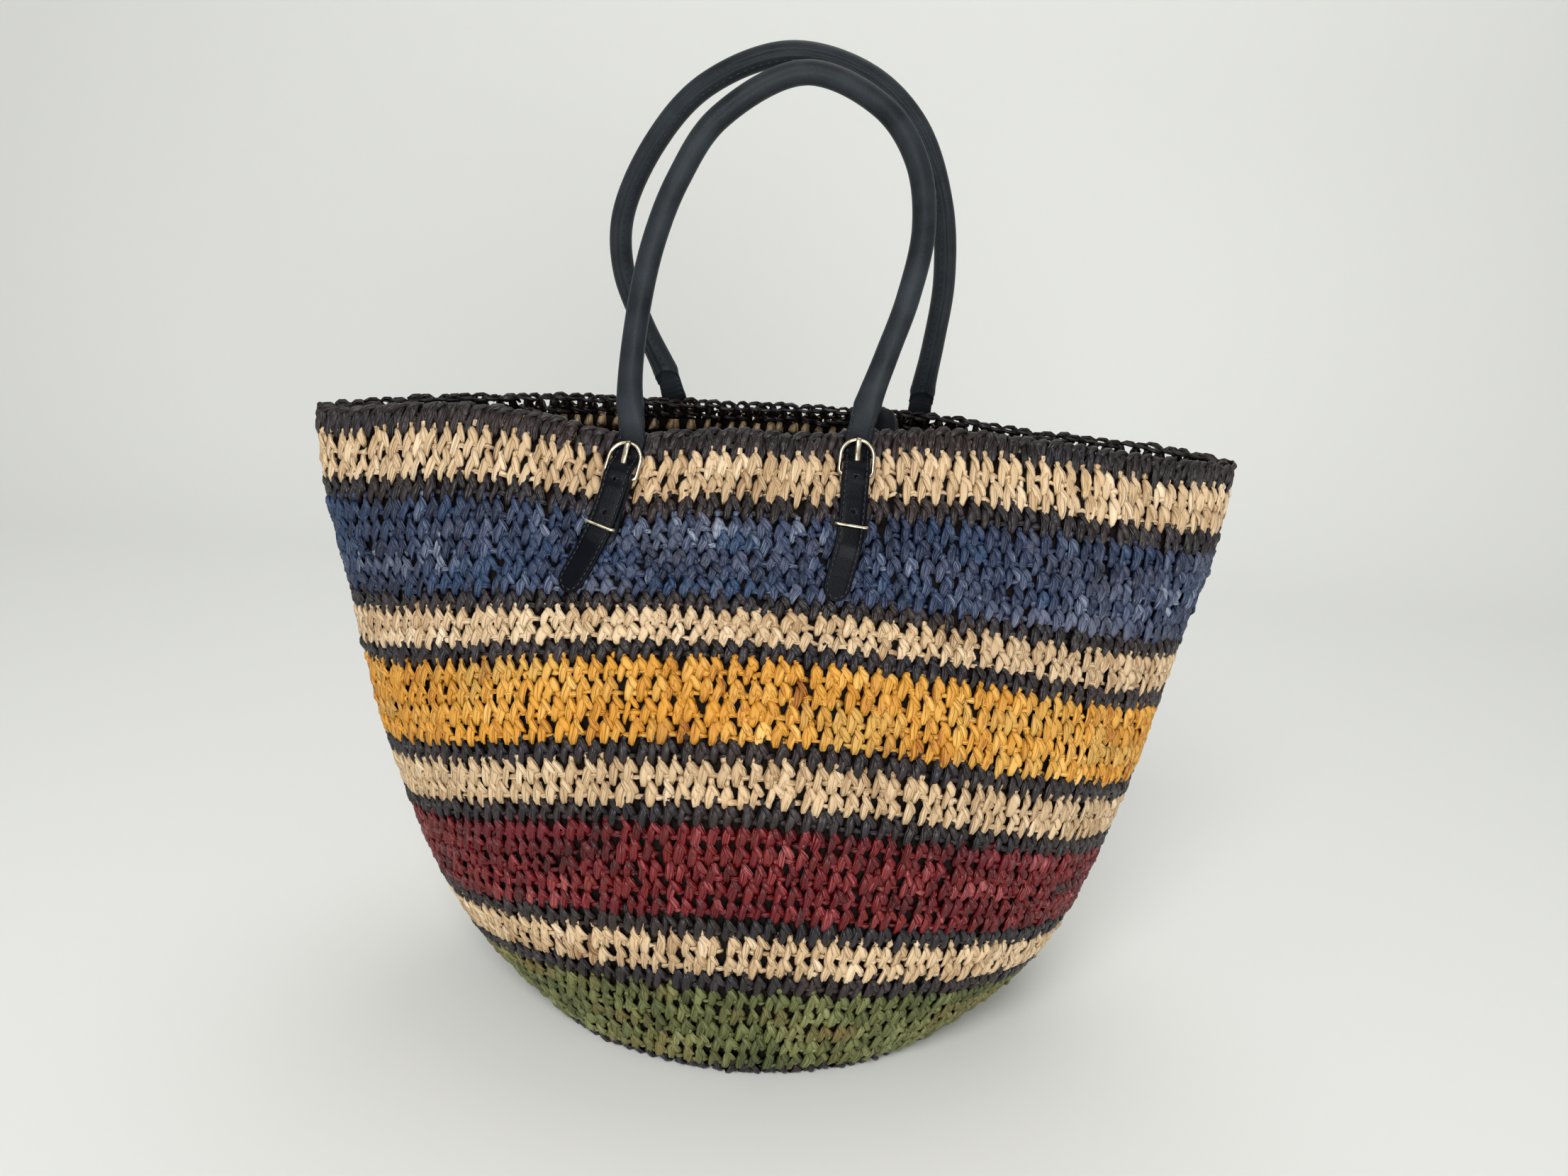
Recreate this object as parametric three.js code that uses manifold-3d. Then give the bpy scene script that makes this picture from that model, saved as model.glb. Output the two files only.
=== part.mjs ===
// A straw basket bag: a crocheted raffia body worked in rounds from the middle of its base,
// in colour bands parted by dark lines, with two rolled leather handles whose flat ends are
// buckled to leather tabs sewn on the front and the back wall.
// Millimetres, +Z up, front towards -Y, resting on its base at Z = 0.
import * as THREE from 'three';
import { mergeVertices } from 'three/addons/utils/BufferGeometryUtils.js';
import Module from 'manifold-3d';

const wasm = await Module();
wasm.setup();

// Body sizes
const mouthWidth = 368; // across the rim
const bodyHeight = 262; // base to rim, at the middle of the front
const bodyDepth = 174; // front to back at the fullest round
const wallThickness = 3.6; // one crocheted layer
const seam = 0.35; // gap left between neighbouring pieces
const sidePower = 1.92; // how each round drops from its middle to its sides

// Handle sizes
const tubeRadius = 4.4; // rolled handle
const handleSpread = 105; // widest distance between a handle's legs
const frontHandleRise = 124; // top of the front handle's middle line above the rim
const backHandleRise = 131;
const topGap = 8; // each handle's top from the bag's middle plane
const footGap = 31; // each handle's foot from the bag's middle plane
const flareWidth = 11.6; // where the tube opens out above its flat end
const flareThickness = 3.2;

// Strap, tab and metal sizes
const strapWidth = 10.2;
const strapThickness = 2.0;
const strapDrop = 47.5; // from the buckle's bar to the strap's tip
const tipLength = 6;
const tabThickness = 2.4;
const tabDrop = 26; // from the bar to the tab's round end
const loopLeather = 1.0; // the tab's leather round the bar
const frameWire = 0.75; // radius of the buckle frame's wire
const frameLength = 13; // bar to the top of the arch
const frameLift = 2.65; // how much further the arch stands off the wall than the bar
const prongWidth = 2.1;
const prongThickness = 1.2;
const keeperWire = 0.55; // radius of the keeper's wire
const keeperDrop = 20; // from the bar to the keeper
const holeRadius = 0.9; // punched holes
const holePitch = 12.5;
const clearance = 0.3; // between pieces that pass through or lie on each other
const wallGap = 0.5; // between the uneven wall and what is sewn on or lies on it

// Inner tab sizes
const innerTabWidth = 8.5;
const innerTabLeather = 1.2;
const innerTabStand = 11; // above the rim
const innerTabHang = 13; // below the rim

// The body's rounds. Widths are shares of half the mouth width, depths of half the body
// depth, rises of the body height, and shift is the round's middle off the bag's middle.
// Power is 2 for an ellipse and less where the round is pinched towards its ends.
const rounds = [
  { round: 0, width: 0, depth: 0, middleRise: 0, sideRise: 0, shift: 0, power: 2 },
  { round: 10, width: 0.5, depth: 0.828, middleRise: 0, sideRise: 0, shift: 0.011, power: 2 },
  { round: 12, width: 0.584, depth: 0.89, middleRise: 0.053, sideRise: 0.03, shift: 0.016, power: 2 },
  { round: 16, width: 0.696, depth: 0.931, middleRise: 0.178, sideRise: 0.106, shift: 0.019, power: 2 },
  { round: 20, width: 0.774, depth: 0.977, middleRise: 0.317, sideRise: 0.21, shift: 0.014, power: 2 },
  { round: 25, width: 0.829, depth: 1, middleRise: 0.479, sideRise: 0.332, shift: 0.008, power: 2 },
  { round: 29, width: 0.875, depth: 0.977, middleRise: 0.605, sideRise: 0.454, shift: 0.003, power: 2 },
  { round: 33, width: 0.913, depth: 0.885, middleRise: 0.714, sideRise: 0.573, shift: 0, power: 1.9 },
  { round: 37, width: 0.943, depth: 0.776, middleRise: 0.794, sideRise: 0.687, shift: 0, power: 1.85 },
  { round: 42, width: 0.984, depth: 0.615, middleRise: 0.895, sideRise: 0.828, shift: 0, power: 1.75 },
  { round: 46, width: 1, depth: 0.356, middleRise: 1, sideRise: 0.962, shift: 0, power: 1.6 },
];

// Soft waves and dents of the upper wall. Across and spread are shares of a round's half
// width, rise of the body height, and push, outwards, of half the body depth.
const waves = [
  { face: -1, across: -0.31, spread: 0.15, rise: -0.024, push: 0.03 },
  { face: -1, across: -0.7, spread: 0.24, rise: 0.015, push: 0 },
  { face: -1, across: 0.04, spread: 0.14, rise: -0.008, push: 0.01 },
  { face: -1, across: 0.4, spread: 0.2, rise: 0.013, push: -0.01 },
  { face: 1, across: -0.1, spread: 0.42, rise: -0.016, push: 0 },
  { face: 1, across: 0.55, spread: 0.2, rise: -0.008, push: 0.01 },
];
const waveStart = 35; // the round above which the waves begin
const rimRound = rounds.at(-1).round; // rounds from the middle of the base to the rim

// The rings, from the base up: the round each one starts at, its colour and how many
// straight steps its wall takes. Each ends where the next one starts.
const rings = [
  { name: 'dark_line_1', start: 10, colour: 'dark', steps: 1 },
  { name: 'green_band', start: 11, colour: 'green', steps: 3 },
  { name: 'dark_line_2', start: 16, colour: 'dark', steps: 1 },
  { name: 'natural_band_1', start: 17, colour: 'natural', steps: 1 },
  { name: 'dark_line_3', start: 19, colour: 'dark', steps: 1 },
  { name: 'red_band', start: 20, colour: 'red', steps: 2 },
  { name: 'dark_line_4', start: 25, colour: 'dark', steps: 1 },
  { name: 'natural_band_2', start: 26, colour: 'natural', steps: 1 },
  { name: 'dark_line_5', start: 28, colour: 'dark', steps: 1 },
  { name: 'yellow_band', start: 29, colour: 'yellow', steps: 2 },
  { name: 'dark_line_6', start: 33, colour: 'dark', steps: 1 },
  { name: 'natural_band_3', start: 34, colour: 'natural', steps: 1 },
  { name: 'dark_line_7', start: 36, colour: 'dark', steps: 1 },
  { name: 'blue_band', start: 37, colour: 'blue', steps: 2 },
  { name: 'dark_line_8', start: 42, colour: 'dark', steps: 1 },
  { name: 'natural_band_4', start: 43, colour: 'natural', steps: 1 },
  { name: 'rim_round', start: rimRound - 1, colour: 'dark', steps: 1 },
  { name: 'rim_chain', start: rimRound - 0.45, colour: 'dark', steps: 1 },
];
const ringSides = 34; // flat sides round each ring

// Where each strap is buckled. Across is the bar's place as a share of the handle spread,
// rise a share of the body height, and the three shifts say how far sideways the strap
// lies at the arch, the keeper and the tip, as shares of the strap's drop.
const fastenings = {
  front_left: { face: -1, across: -0.533, rise: 0.92, arch: 0.06, keeper: -0.1, tip: -0.36 },
  front_right: { face: -1, across: 0.291, rise: 0.944, arch: 0.01, keeper: -0.02, tip: -0.12 },
  back_left: { face: 1, across: -0.407, rise: 0.935, arch: -0.03, keeper: 0.04, tip: 0.12 },
  back_right: { face: 1, across: 0.554, rise: 0.925, arch: 0.02, keeper: -0.03, tip: -0.16 },
};

// Middle lines of the handles between their two flat ends. Across is a share of the
// handle spread, up a share of the handle's rise above the rim.
const frontArch = [
  { across: -0.524, up: 0.105 },
  { across: -0.499, up: 0.35 },
  { across: -0.455, up: 0.53 },
  { across: -0.385, up: 0.69 },
  { across: -0.26, up: 0.86 },
  { across: 0.03, up: 1 },
  { across: 0.3, up: 0.92 },
  { across: 0.43, up: 0.78 },
  { across: 0.472, up: 0.6 },
  { across: 0.437, up: 0.4 },
  { across: 0.378, up: 0.234 },
  { across: 0.325, up: 0.09 },
];
const backArch = [
  { across: -0.455, up: 0.05 },
  { across: -0.55, up: 0.21 },
  { across: -0.622, up: 0.37 },
  { across: -0.622, up: 0.53 },
  { across: -0.5, up: 0.745 },
  { across: -0.32, up: 0.905 },
  { across: -0.03, up: 1 },
  { across: 0.25, up: 0.955 },
  { across: 0.44, up: 0.83 },
  { across: 0.56, up: 0.62 },
  { across: 0.602, up: 0.4 },
  { across: 0.59, up: 0.2 },
  { across: 0.572, up: 0.06 },
];
const archSteps = 21; // sections along each arch
const tubeSides = 10;
const holeSides = 6; // punched holes
const loopSides = 8; // leather and metal rolled round the buckle's bar

const colours = {
  natural: { color: 0xd7b482, roughness: 0.6, metalness: 0 },
  dark: { color: 0x322c2e, roughness: 0.5, metalness: 0 },
  blue: { color: 0x4b5a82, roughness: 0.6, metalness: 0 },
  yellow: { color: 0xcd962d, roughness: 0.6, metalness: 0 },
  red: { color: 0x73232d, roughness: 0.5, metalness: 0 },
  green: { color: 0x69703c, roughness: 0.6, metalness: 0 },
  leather: { color: 0x232a32, roughness: 0.45, metalness: 0 },
  metal: { color: 0xb5a78c, roughness: 0.3, metalness: 1 },
};

// A smooth curve through one column of a table, with no overshoot between rows and a
// straight run past the ends.
function smooth(table, key, column, place) {
  const xs = table.map((row) => row[key]);
  const ys = table.map((row) => row[column]);
  const last = xs.length - 1;
  const slopes = xs.slice(1).map((x, i) => (ys[i + 1] - ys[i]) / (x - xs[i]));
  const tangents = xs.map((x, i) => {
    if (i === 0) return slopes[0];
    if (i === last) return slopes[last - 1];
    const [before, after] = [slopes[i - 1], slopes[i]];
    return before * after <= 0 ? 0 : (2 * before * after) / (before + after);
  });
  if (place <= xs[0]) return ys[0] + tangents[0] * (place - xs[0]);
  if (place >= xs[last]) return ys[last] + tangents[last] * (place - xs[last]);
  const i = xs.findIndex((x) => x > place) - 1;
  const step = xs[i + 1] - xs[i];
  const t = (place - xs[i]) / step;
  return (
    ys[i] * (1 - t) ** 2 * (1 + 2 * t) +
    ys[i + 1] * t ** 2 * (3 - 2 * t) +
    step * tangents[i] * t * (1 - t) ** 2 -
    step * tangents[i + 1] * t ** 2 * (1 - t)
  );
}

// The sizes of one round of the body, at its outer face or, with an inset, inside it.
function roundSizes(round, inset = 0) {
  const read = (place) => ({
    width: (mouthWidth / 2) * smooth(rounds, 'round', 'width', place),
    depth: (bodyDepth / 2) * smooth(rounds, 'round', 'depth', place),
    middle: bodyHeight * smooth(rounds, 'round', 'middleRise', place),
    side: bodyHeight * smooth(rounds, 'round', 'sideRise', place),
    shift: (mouthWidth / 2) * smooth(rounds, 'round', 'shift', place),
    power: smooth(rounds, 'round', 'power', place),
  });
  const sizes = read(round);
  if (inset === 0) return sizes;
  const [below, above] = [read(round - 0.5), read(round + 0.5)];
  const sideRun = new THREE.Vector2(above.width - below.width, above.side - below.side);
  const middleRun = new THREE.Vector2(above.depth - below.depth, above.middle - below.middle);
  sideRun.normalize().multiplyScalar(inset);
  middleRun.normalize().multiplyScalar(inset);
  return {
    ...sizes,
    width: sizes.width - sideRun.y,
    side: sizes.side + sideRun.x,
    depth: sizes.depth - middleRun.y,
    middle: sizes.middle + middleRun.x,
  };
}

// A point of a round, on the front (face -1) or the back (face 1), at a share of its width.
function roundPoint(sizes, round, face, across) {
  const reach = Math.min(Math.abs(across), 1);
  const growth = THREE.MathUtils.smoothstep(round, waveStart, rimRound);
  const point = new THREE.Vector3(
    sizes.shift + sizes.width * across,
    face * sizes.depth * (1 - reach ** sizes.power) ** (1 / sizes.power),
    sizes.middle + (sizes.side - sizes.middle) * reach ** sidePower,
  );
  for (const wave of waves.filter((row) => row.face === face)) {
    const offset = (across - wave.across) / wave.spread;
    const strength = growth * (1 - reach ** 2) * Math.exp(-(offset ** 2));
    point.z += strength * wave.rise * bodyHeight;
    point.y += face * strength * wave.push * (bodyDepth / 2);
  }
  return point;
}

// A closed body through sections that all have the same number of points. A loop joins
// its last section to its first, and anything else is capped at both ends.
function loft(sections, loop = false) {
  const count = sections[0].length;
  const positions = sections.flat().flatMap((point) => [point.x, point.y, point.z]);
  const triangles = [];
  const spans = loop ? sections.length : sections.length - 1;
  for (let i = 0; i < spans; i += 1) {
    const next = (i + 1) % sections.length;
    for (let j = 0; j < count; j += 1) {
      const k = (j + 1) % count;
      const [a, b] = [i * count + j, i * count + k];
      const [c, d] = [next * count + j, next * count + k];
      triangles.push(a, b, d, a, d, c);
    }
  }
  if (!loop) {
    const end = (sections.length - 1) * count;
    for (let j = 1; j < count - 1; j += 1) {
      triangles.push(0, j + 1, j, end, end + j, end + j + 1);
    }
  }
  return outward(positions, triangles);
}

// A geometry whose faces point out, whichever way round its triangles came.
function outward(positions, triangles) {
  const corner = (i) => new THREE.Vector3(...positions.slice(3 * i, 3 * i + 3));
  let volume = 0;
  for (let i = 0; i < triangles.length; i += 3) {
    const [a, b, c] = [corner(triangles[i]), corner(triangles[i + 1]), corner(triangles[i + 2])];
    volume += a.dot(b.cross(c));
  }
  if (volume < 0) triangles.reverse();
  const geometry = new THREE.BufferGeometry();
  geometry.setAttribute('position', new THREE.Float32BufferAttribute(positions, 3));
  geometry.setIndex(triangles);
  return geometry;
}

function toSolid(geometry) {
  const bare = geometry.clone();
  bare.deleteAttribute('normal');
  bare.deleteAttribute('uv');
  const merged = mergeVertices(bare, 1e-4);
  return new wasm.Manifold(
    new wasm.Mesh({
      numProp: 3,
      vertProperties: new Float32Array(merged.attributes.position.array),
      triVerts: new Uint32Array(merged.index.array),
    }),
  );
}

function toGeometry(solid) {
  const mesh = solid.getMesh();
  const geometry = new THREE.BufferGeometry();
  geometry.setAttribute('position', new THREE.Float32BufferAttribute(mesh.vertProperties, 3));
  geometry.setIndex(Array.from(mesh.triVerts));
  return geometry;
}

// A point round the ring: face and across for a turn that starts at the bag's side.
function turnPoint(round, inset, turn) {
  const sizes = roundSizes(round, inset);
  const face = Math.sin(turn) < 0 ? -1 : 1;
  const across = Math.sign(Math.cos(turn)) * Math.abs(Math.cos(turn)) ** (2 / sizes.power);
  return roundPoint(sizes, round, face, across);
}

function ringTurns() {
  return Array.from({ length: ringSides }, (_, i) => ((i + 0.5) / ringSides) * 2 * Math.PI);
}

// The way up the wall at a round, a unit long.
function upTheWall(round, turn) {
  return turnPoint(round + 0.5, 0, turn).sub(turnPoint(round - 0.5, 0, turn)).normalize();
}

// A ring of the wall between two rounds: outer face, top edge, inner face, bottom edge.
// Its edges stand half a seam back from the rounds where it meets its neighbours.
function ring(start, end, steps) {
  const places = Array.from({ length: steps + 1 }, (_, i) => start + ((end - start) * i) / steps);
  const backOff = (i) => {
    if (i === 0) return seam / 2;
    return i === steps && end !== rimRound ? -seam / 2 : 0;
  };
  const wallFace = (inset, turn) =>
    places.map((place, i) =>
      turnPoint(place, inset, turn).addScaledVector(upTheWall(place, turn), backOff(i)),
    );
  const profile = (turn) => [
    ...wallFace(0, turn),
    ...wallFace(wallThickness, turn).reverse(),
  ];
  return loft(ringTurns().map(profile), true);
}

// The flat oval base, inside the first ring.
function baseDisc(end) {
  const edge = (inset) =>
    ringTurns().map((turn) => {
      const inwards = upTheWall(end, turn).setZ(0).normalize();
      return turnPoint(end, inset, turn).addScaledVector(inwards, -seam / 2);
    });
  return loft([edge(0), edge(wallThickness)]);
}

// The line that a strap takes down the wall, with the wall's own directions along it.
// Heights along it are counted up from the buckle's bar.
class WallLine {
  constructor({ face, across, rise, arch, keeper, tip }) {
    this.face = face;
    this.barX = handleSpread * across;
    this.sideways = [
      { along: -strapDrop, shift: tip * strapDrop },
      { along: -keeperDrop, shift: keeper * strapDrop },
      { along: 0, shift: 0 },
      { along: frameLength, shift: arch * strapDrop },
    ];
    this.step = 0.5;
    this.barRound = this.findRound(this.barX, rise * bodyHeight);
    this.up = this.march(1, 3 * frameLength);
    this.down = this.march(-1, strapDrop + tipLength);
  }

  surface(round, x) {
    const sizes = roundSizes(round);
    return roundPoint(sizes, round, this.face, (x - sizes.shift) / sizes.width);
  }

  findRound(x, height) {
    let [low, high] = [waveStart, rimRound];
    for (let i = 0; i < 30; i += 1) {
      const middle = (low + high) / 2;
      if (this.surface(middle, x).z < height) low = middle;
      else high = middle;
    }
    return (low + high) / 2;
  }

  // The wall's point and its outward direction at a round and a place across the bag.
  spot(round, x) {
    const alongX = this.surface(round, x + 1).sub(this.surface(round, x - 1));
    const alongRounds = this.surface(round + 0.1, x).sub(this.surface(round - 0.1, x));
    const out = alongX.cross(alongRounds).multiplyScalar(-this.face).normalize();
    return { point: this.surface(round, x), out };
  }

  march(sign, reach) {
    const spots = [this.spot(this.barRound, this.barX)];
    let round = this.barRound;
    let shift = 0;
    for (let along = this.step; along <= reach; along += this.step) {
      const nextShift = smooth(this.sideways, 'along', 'shift', sign * along);
      const side = nextShift - shift;
      const climb = Math.sqrt(Math.max(this.step ** 2 - side ** 2, 0));
      const x = this.barX + nextShift;
      const probe = 0.05;
      const rate = this.surface(round + probe, x).distanceTo(this.surface(round - probe, x));
      round += (sign * climb * 2 * probe) / rate;
      shift = nextShift;
      spots.push(this.spot(round, x));
    }
    return spots;
  }

  // Reads the point or the outward direction at a height.
  read(field, along) {
    const spots = along < 0 ? this.down : this.up;
    const place = Math.min(Math.abs(along) / this.step, spots.length - 1.001);
    const i = Math.floor(place);
    return spots[i][field].clone().lerp(spots[i + 1][field], place - i);
  }

  // Directions at a height: up the line, across it and out of the wall.
  directions(along) {
    const reach = 2;
    const run = this.read('point', along + reach).sub(this.read('point', along - reach));
    const normal = this.read('out', along);
    const across = new THREE.Vector3().crossVectors(run, normal).normalize();
    const up = new THREE.Vector3().crossVectors(normal, across).normalize();
    return { up, out: normal.normalize(), across };
  }

  // A point given by its distance across, its height along and its distance off the wall.
  place(across, along, off) {
    const axes = this.directions(along);
    const foot = this.read('point', along);
    return foot.addScaledVector(axes.across, across).addScaledVector(axes.out, off);
  }
}

// Heights off the wall, built up from the clearances and the leather.
const barOff = wallGap + loopLeather + clearance + frameWire;
const archOff = barOff + frameLift;
const halfStrap = strapThickness / 2;
const loopRadius = frameWire + clearance + loopLeather;
const tabOff = wallGap + tabThickness / 2;
const overLoop = barOff + loopRadius + clearance + halfStrap;
const overTab = wallGap + tabThickness + clearance + halfStrap;
const onWall = wallGap + halfStrap;
const tabEnd = keeperDrop + 6;
const flareOff = wallGap + flareThickness / 2 + 0.5;

// The strap's way down: half its width, half its thickness and how far off the wall it
// lies, by height along the wall line.
const strapWay = [
  { along: -strapDrop, half: 0.22, thick: 0.8, off: onWall },
  { along: -strapDrop + 0.2 * tipLength, half: 0.62, thick: 1, off: onWall },
  { along: -strapDrop + 0.5 * tipLength, half: 0.85, thick: 1, off: onWall },
  { along: -strapDrop + tipLength, half: 1, thick: 1, off: onWall + 0.3 },
  { along: -tabEnd - 6, half: 1, thick: 1, off: onWall + 1.3 },
  { along: -tabEnd, half: 1, thick: 1, off: overTab },
  { along: -keeperDrop / 2, half: 1, thick: 1, off: overTab },
  { along: -6, half: 1, thick: 1, off: overTab + 0.2 },
  { along: -2.5, half: 1, thick: 1, off: overLoop - 0.2 },
  { along: 0, half: 1, thick: 1, off: overLoop },
  { along: 2.5, half: 1, thick: 1, off: overLoop - 0.5 },
  { along: 5.5, half: 1, thick: 1, off: onWall + 2 },
  { along: 8, half: 1, thick: 1, off: onWall + 0.75 },
  { along: frameLength, half: 1, thick: 1, off: onWall + 0.65 },
];

// One section of a strap or tube: rounder for a power of 2, squarer for a higher one.
function section(centre, across, out, halfWidth, halfThickness, power) {
  return Array.from({ length: tubeSides }, (_, i) => {
    const turn = ((i + 0.5) / tubeSides) * 2 * Math.PI;
    const [c, s] = [Math.cos(turn), Math.sin(turn)];
    const w = halfWidth * Math.sign(c) * Math.abs(c) ** (2 / power);
    const t = halfThickness * Math.sign(s) * Math.abs(s) ** (2 / power);
    return centre.clone().addScaledVector(across, w).addScaledVector(out, t);
  });
}

const strapPower = 6;

function strapSections(line) {
  return strapWay.map((row) => {
    const { up, out, across } = line.directions(row.along);
    const centre = line.place(0, row.along, row.off);
    return section(
      centre, across, out, (strapWidth / 2) * row.half, halfStrap * row.thick, strapPower,
    );
  });
}

// The middle line of a handle from one flat end to the other.
function archCurve(left, right, arch, rise, face) {
  const foot = frameLength + 2;
  const middle = arch.map(
    (row) =>
      new THREE.Vector3(
        handleSpread * row.across,
        face * (footGap + (topGap - footGap) * row.up),
        bodyHeight + rise * row.up,
      ),
  );
  const points = [left.place(0, foot, flareOff), ...middle, right.place(0, foot, flareOff)];
  return new THREE.CatmullRomCurve3(points, false, 'centripetal');
}

// Half width, half thickness and squareness by distance from a flat end.
const flare = [
  { from: 0, half: 0.45 * flareWidth, thick: 0.5 * flareThickness, power: 4 },
  { from: 5, half: 0.465 * flareWidth, thick: 0.56 * flareThickness, power: 3.6 },
  { from: 12, half: 0.5 * flareWidth, thick: 0.9 * flareThickness, power: 2.6 },
  { from: 18, half: 1.18 * tubeRadius, thick: 0.86 * tubeRadius, power: 2.2 },
  { from: 28, half: 1.045 * tubeRadius, thick: 0.955 * tubeRadius, power: 2 },
  { from: 40, half: tubeRadius, thick: tubeRadius, power: 2 },
];

function archSections(curve, left, right, face) {
  const length = curve.getLength();
  const ends = [left.directions(frameLength), right.directions(frameLength)];
  return Array.from({ length: archSteps + 1 }, (_, i) => {
    // Sections lie closer together towards both flat ends.
    const even = i / archSteps;
    const share = even - (0.4 * Math.sin(2 * Math.PI * even)) / (2 * Math.PI);
    const centre = curve.getPointAt(share);
    const tangent = curve.getTangentAt(share);
    const from = Math.min(share, 1 - share) * length;
    const lean = Math.atan2(footGap - topGap, frontHandleRise);
    const plane = new THREE.Vector3(0, face * Math.cos(lean), Math.sin(lean));
    const end = share < 0.5 ? ends[0].out : ends[1].out;
    const blend = THREE.MathUtils.smoothstep(from, 0, 30);
    const guide = end.clone().lerp(plane, blend);
    const across = new THREE.Vector3().crossVectors(tangent, guide).normalize();
    const out = new THREE.Vector3().crossVectors(across, tangent).normalize();
    const held = Math.min(from, flare.at(-1).from);
    return section(
      centre, across, out, smooth(flare, 'from', 'half', held),
      smooth(flare, 'from', 'thick', held), smooth(flare, 'from', 'power', held),
    );
  });
}

// A right-hand strap runs down while the handle's sections run on, so its across
// direction is turned to keep the sections' points in step.
function rightStrapSections(line) {
  return strapWay.toReversed().map((row) => {
    const { out, across } = line.directions(row.along);
    const centre = line.place(0, row.along, row.off);
    return section(
      centre, across.negate(), out, (strapWidth / 2) * row.half, halfStrap * row.thick, strapPower,
    );
  });
}

// Centre to corner of a flat-sided round whose sides just touch a circle.
function cornerReach(radius, sides) {
  return radius / Math.cos(Math.PI / sides);
}

// A straight bar through a wall line's own directions, used to punch a hole.
function punch(line, along, radius, low, high) {
  const reach = cornerReach(radius, holeSides);
  const circle = (off) =>
    Array.from({ length: holeSides }, (_, i) => {
      const turn = (i / holeSides) * 2 * Math.PI;
      return line.place(reach * Math.cos(turn), along + reach * Math.sin(turn), off);
    });
  return loft([circle(low), circle(high)]);
}

// A rolled handle with its two buckled strap ends, in one piece of leather.
function handle(left, right, arch, rise, face) {
  const curve = archCurve(left, right, arch, rise, face);
  const sections = [
    ...strapSections(left),
    ...archSections(curve, left, right, face),
    ...rightStrapSections(right),
  ];
  let solid = toSolid(loft(sections));
  for (const line of [left, right]) {
    const reach = overLoop + strapThickness;
    solid = solid.subtract(toSolid(prongRod(line, clearance)));
    for (const along of [-2.5, -2.5 - holePitch]) {
      solid = solid.subtract(toSolid(punch(line, along, holeRadius, overTab - 1.6, reach)));
    }
  }
  return toGeometry(solid);
}

// A closed loop of round wire. Flat gives the loop's middle line in its own plane, and
// map takes a flat point and a distance off that plane to its place.
function wireLoop(flat, radius, sides, map) {
  const sections = flat.map((point, i) => {
    const before = flat[(i + flat.length - 1) % flat.length];
    const after = flat[(i + 1) % flat.length];
    const run = new THREE.Vector2().subVectors(after, before).normalize();
    return Array.from({ length: sides }, (_, j) => {
      const turn = ((j + 0.5) / sides) * 2 * Math.PI;
      const inPlane = radius * Math.cos(turn);
      return map(point.x + run.y * inPlane, point.y - run.x * inPlane, radius * Math.sin(turn));
    });
  });
  return loft(sections, true);
}

// The buckle's frame: a straight bar, two legs and an arched top.
function buckleFrame(line) {
  const half = strapWidth / 2 + clearance + frameWire;
  const shoulder = frameLength / 2;
  const corner = 0.8;
  const flat = [
    new THREE.Vector2(0, 0),
    new THREE.Vector2(half - corner, 0),
    new THREE.Vector2(half, corner),
    new THREE.Vector2(half, shoulder),
  ];
  const archPoints = 8;
  for (let i = 1; i < archPoints; i += 1) {
    const turn = (i / archPoints) * Math.PI;
    const rise = shoulder + (frameLength - shoulder) * Math.sin(turn);
    flat.push(new THREE.Vector2(half * Math.cos(turn), rise));
  }
  flat.push(new THREE.Vector2(-half, shoulder));
  flat.push(new THREE.Vector2(-half, corner));
  flat.push(new THREE.Vector2(-half + corner, 0));
  const tilt = (along) => barOff + ((archOff - barOff) * along) / frameLength;
  return wireLoop(flat, frameWire, 6, (x, y, off) => line.place(x, y, tilt(y) + off));
}

// The prong's rod from the bar, through the strap and over the top of the frame. Extra
// makes it larger all round, to cut the hole that it passes through.
function prongRod(line, extra = 0) {
  const half = prongWidth / 2 + extra;
  const thick = prongThickness / 2 + extra;
  const tipOff = archOff + frameWire + clearance + prongThickness / 2;
  const way = [
    { along: frameWire + clearance + 0.2, off: barOff + 0.35 },
    { along: frameLength / 2, off: (barOff + tipOff) / 2 + 0.3 },
    { along: frameLength + frameWire, off: tipOff },
  ];
  const corners = [[-1, -1], [1, -1], [1, 1], [-1, 1]];
  return loft(
    way.map((row) => corners.map(([w, t]) => line.place(w * half, row.along, row.off + t * thick))),
  );
}

// A roll round the buckle's bar. Reach is from its middle to its corners.
function roll(line, reach, halfWidth) {
  const circle = (across) =>
    Array.from({ length: loopSides }, (_, i) => {
      const turn = ((i + 0.5) / loopSides) * 2 * Math.PI;
      return line.place(across, reach * Math.cos(turn), barOff + reach * Math.sin(turn));
    });
  return loft([circle(-halfWidth), circle(halfWidth)]);
}

const rollRadius = frameWire + clearance + 0.75;

// The space for the bar inside the prong's roll and the tab's fold.
function barSpace(line, halfWidth) {
  return toSolid(roll(line, cornerReach(frameWire + clearance, loopSides), halfWidth));
}

function prong(line) {
  const rolled = toSolid(roll(line, rollRadius, prongWidth / 2));
  const whole = rolled.add(toSolid(prongRod(line))).subtract(barSpace(line, prongWidth));
  return toGeometry(whole);
}

// A block in a wall line's own directions.
function block(line, across, low, high, near, far) {
  const corners = [[-1, near], [1, near], [1, far], [-1, far]];
  const end = (along) => corners.map(([w, off]) => line.place(w * across, along, off));
  return loft([end(low), end(high)]);
}

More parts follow.
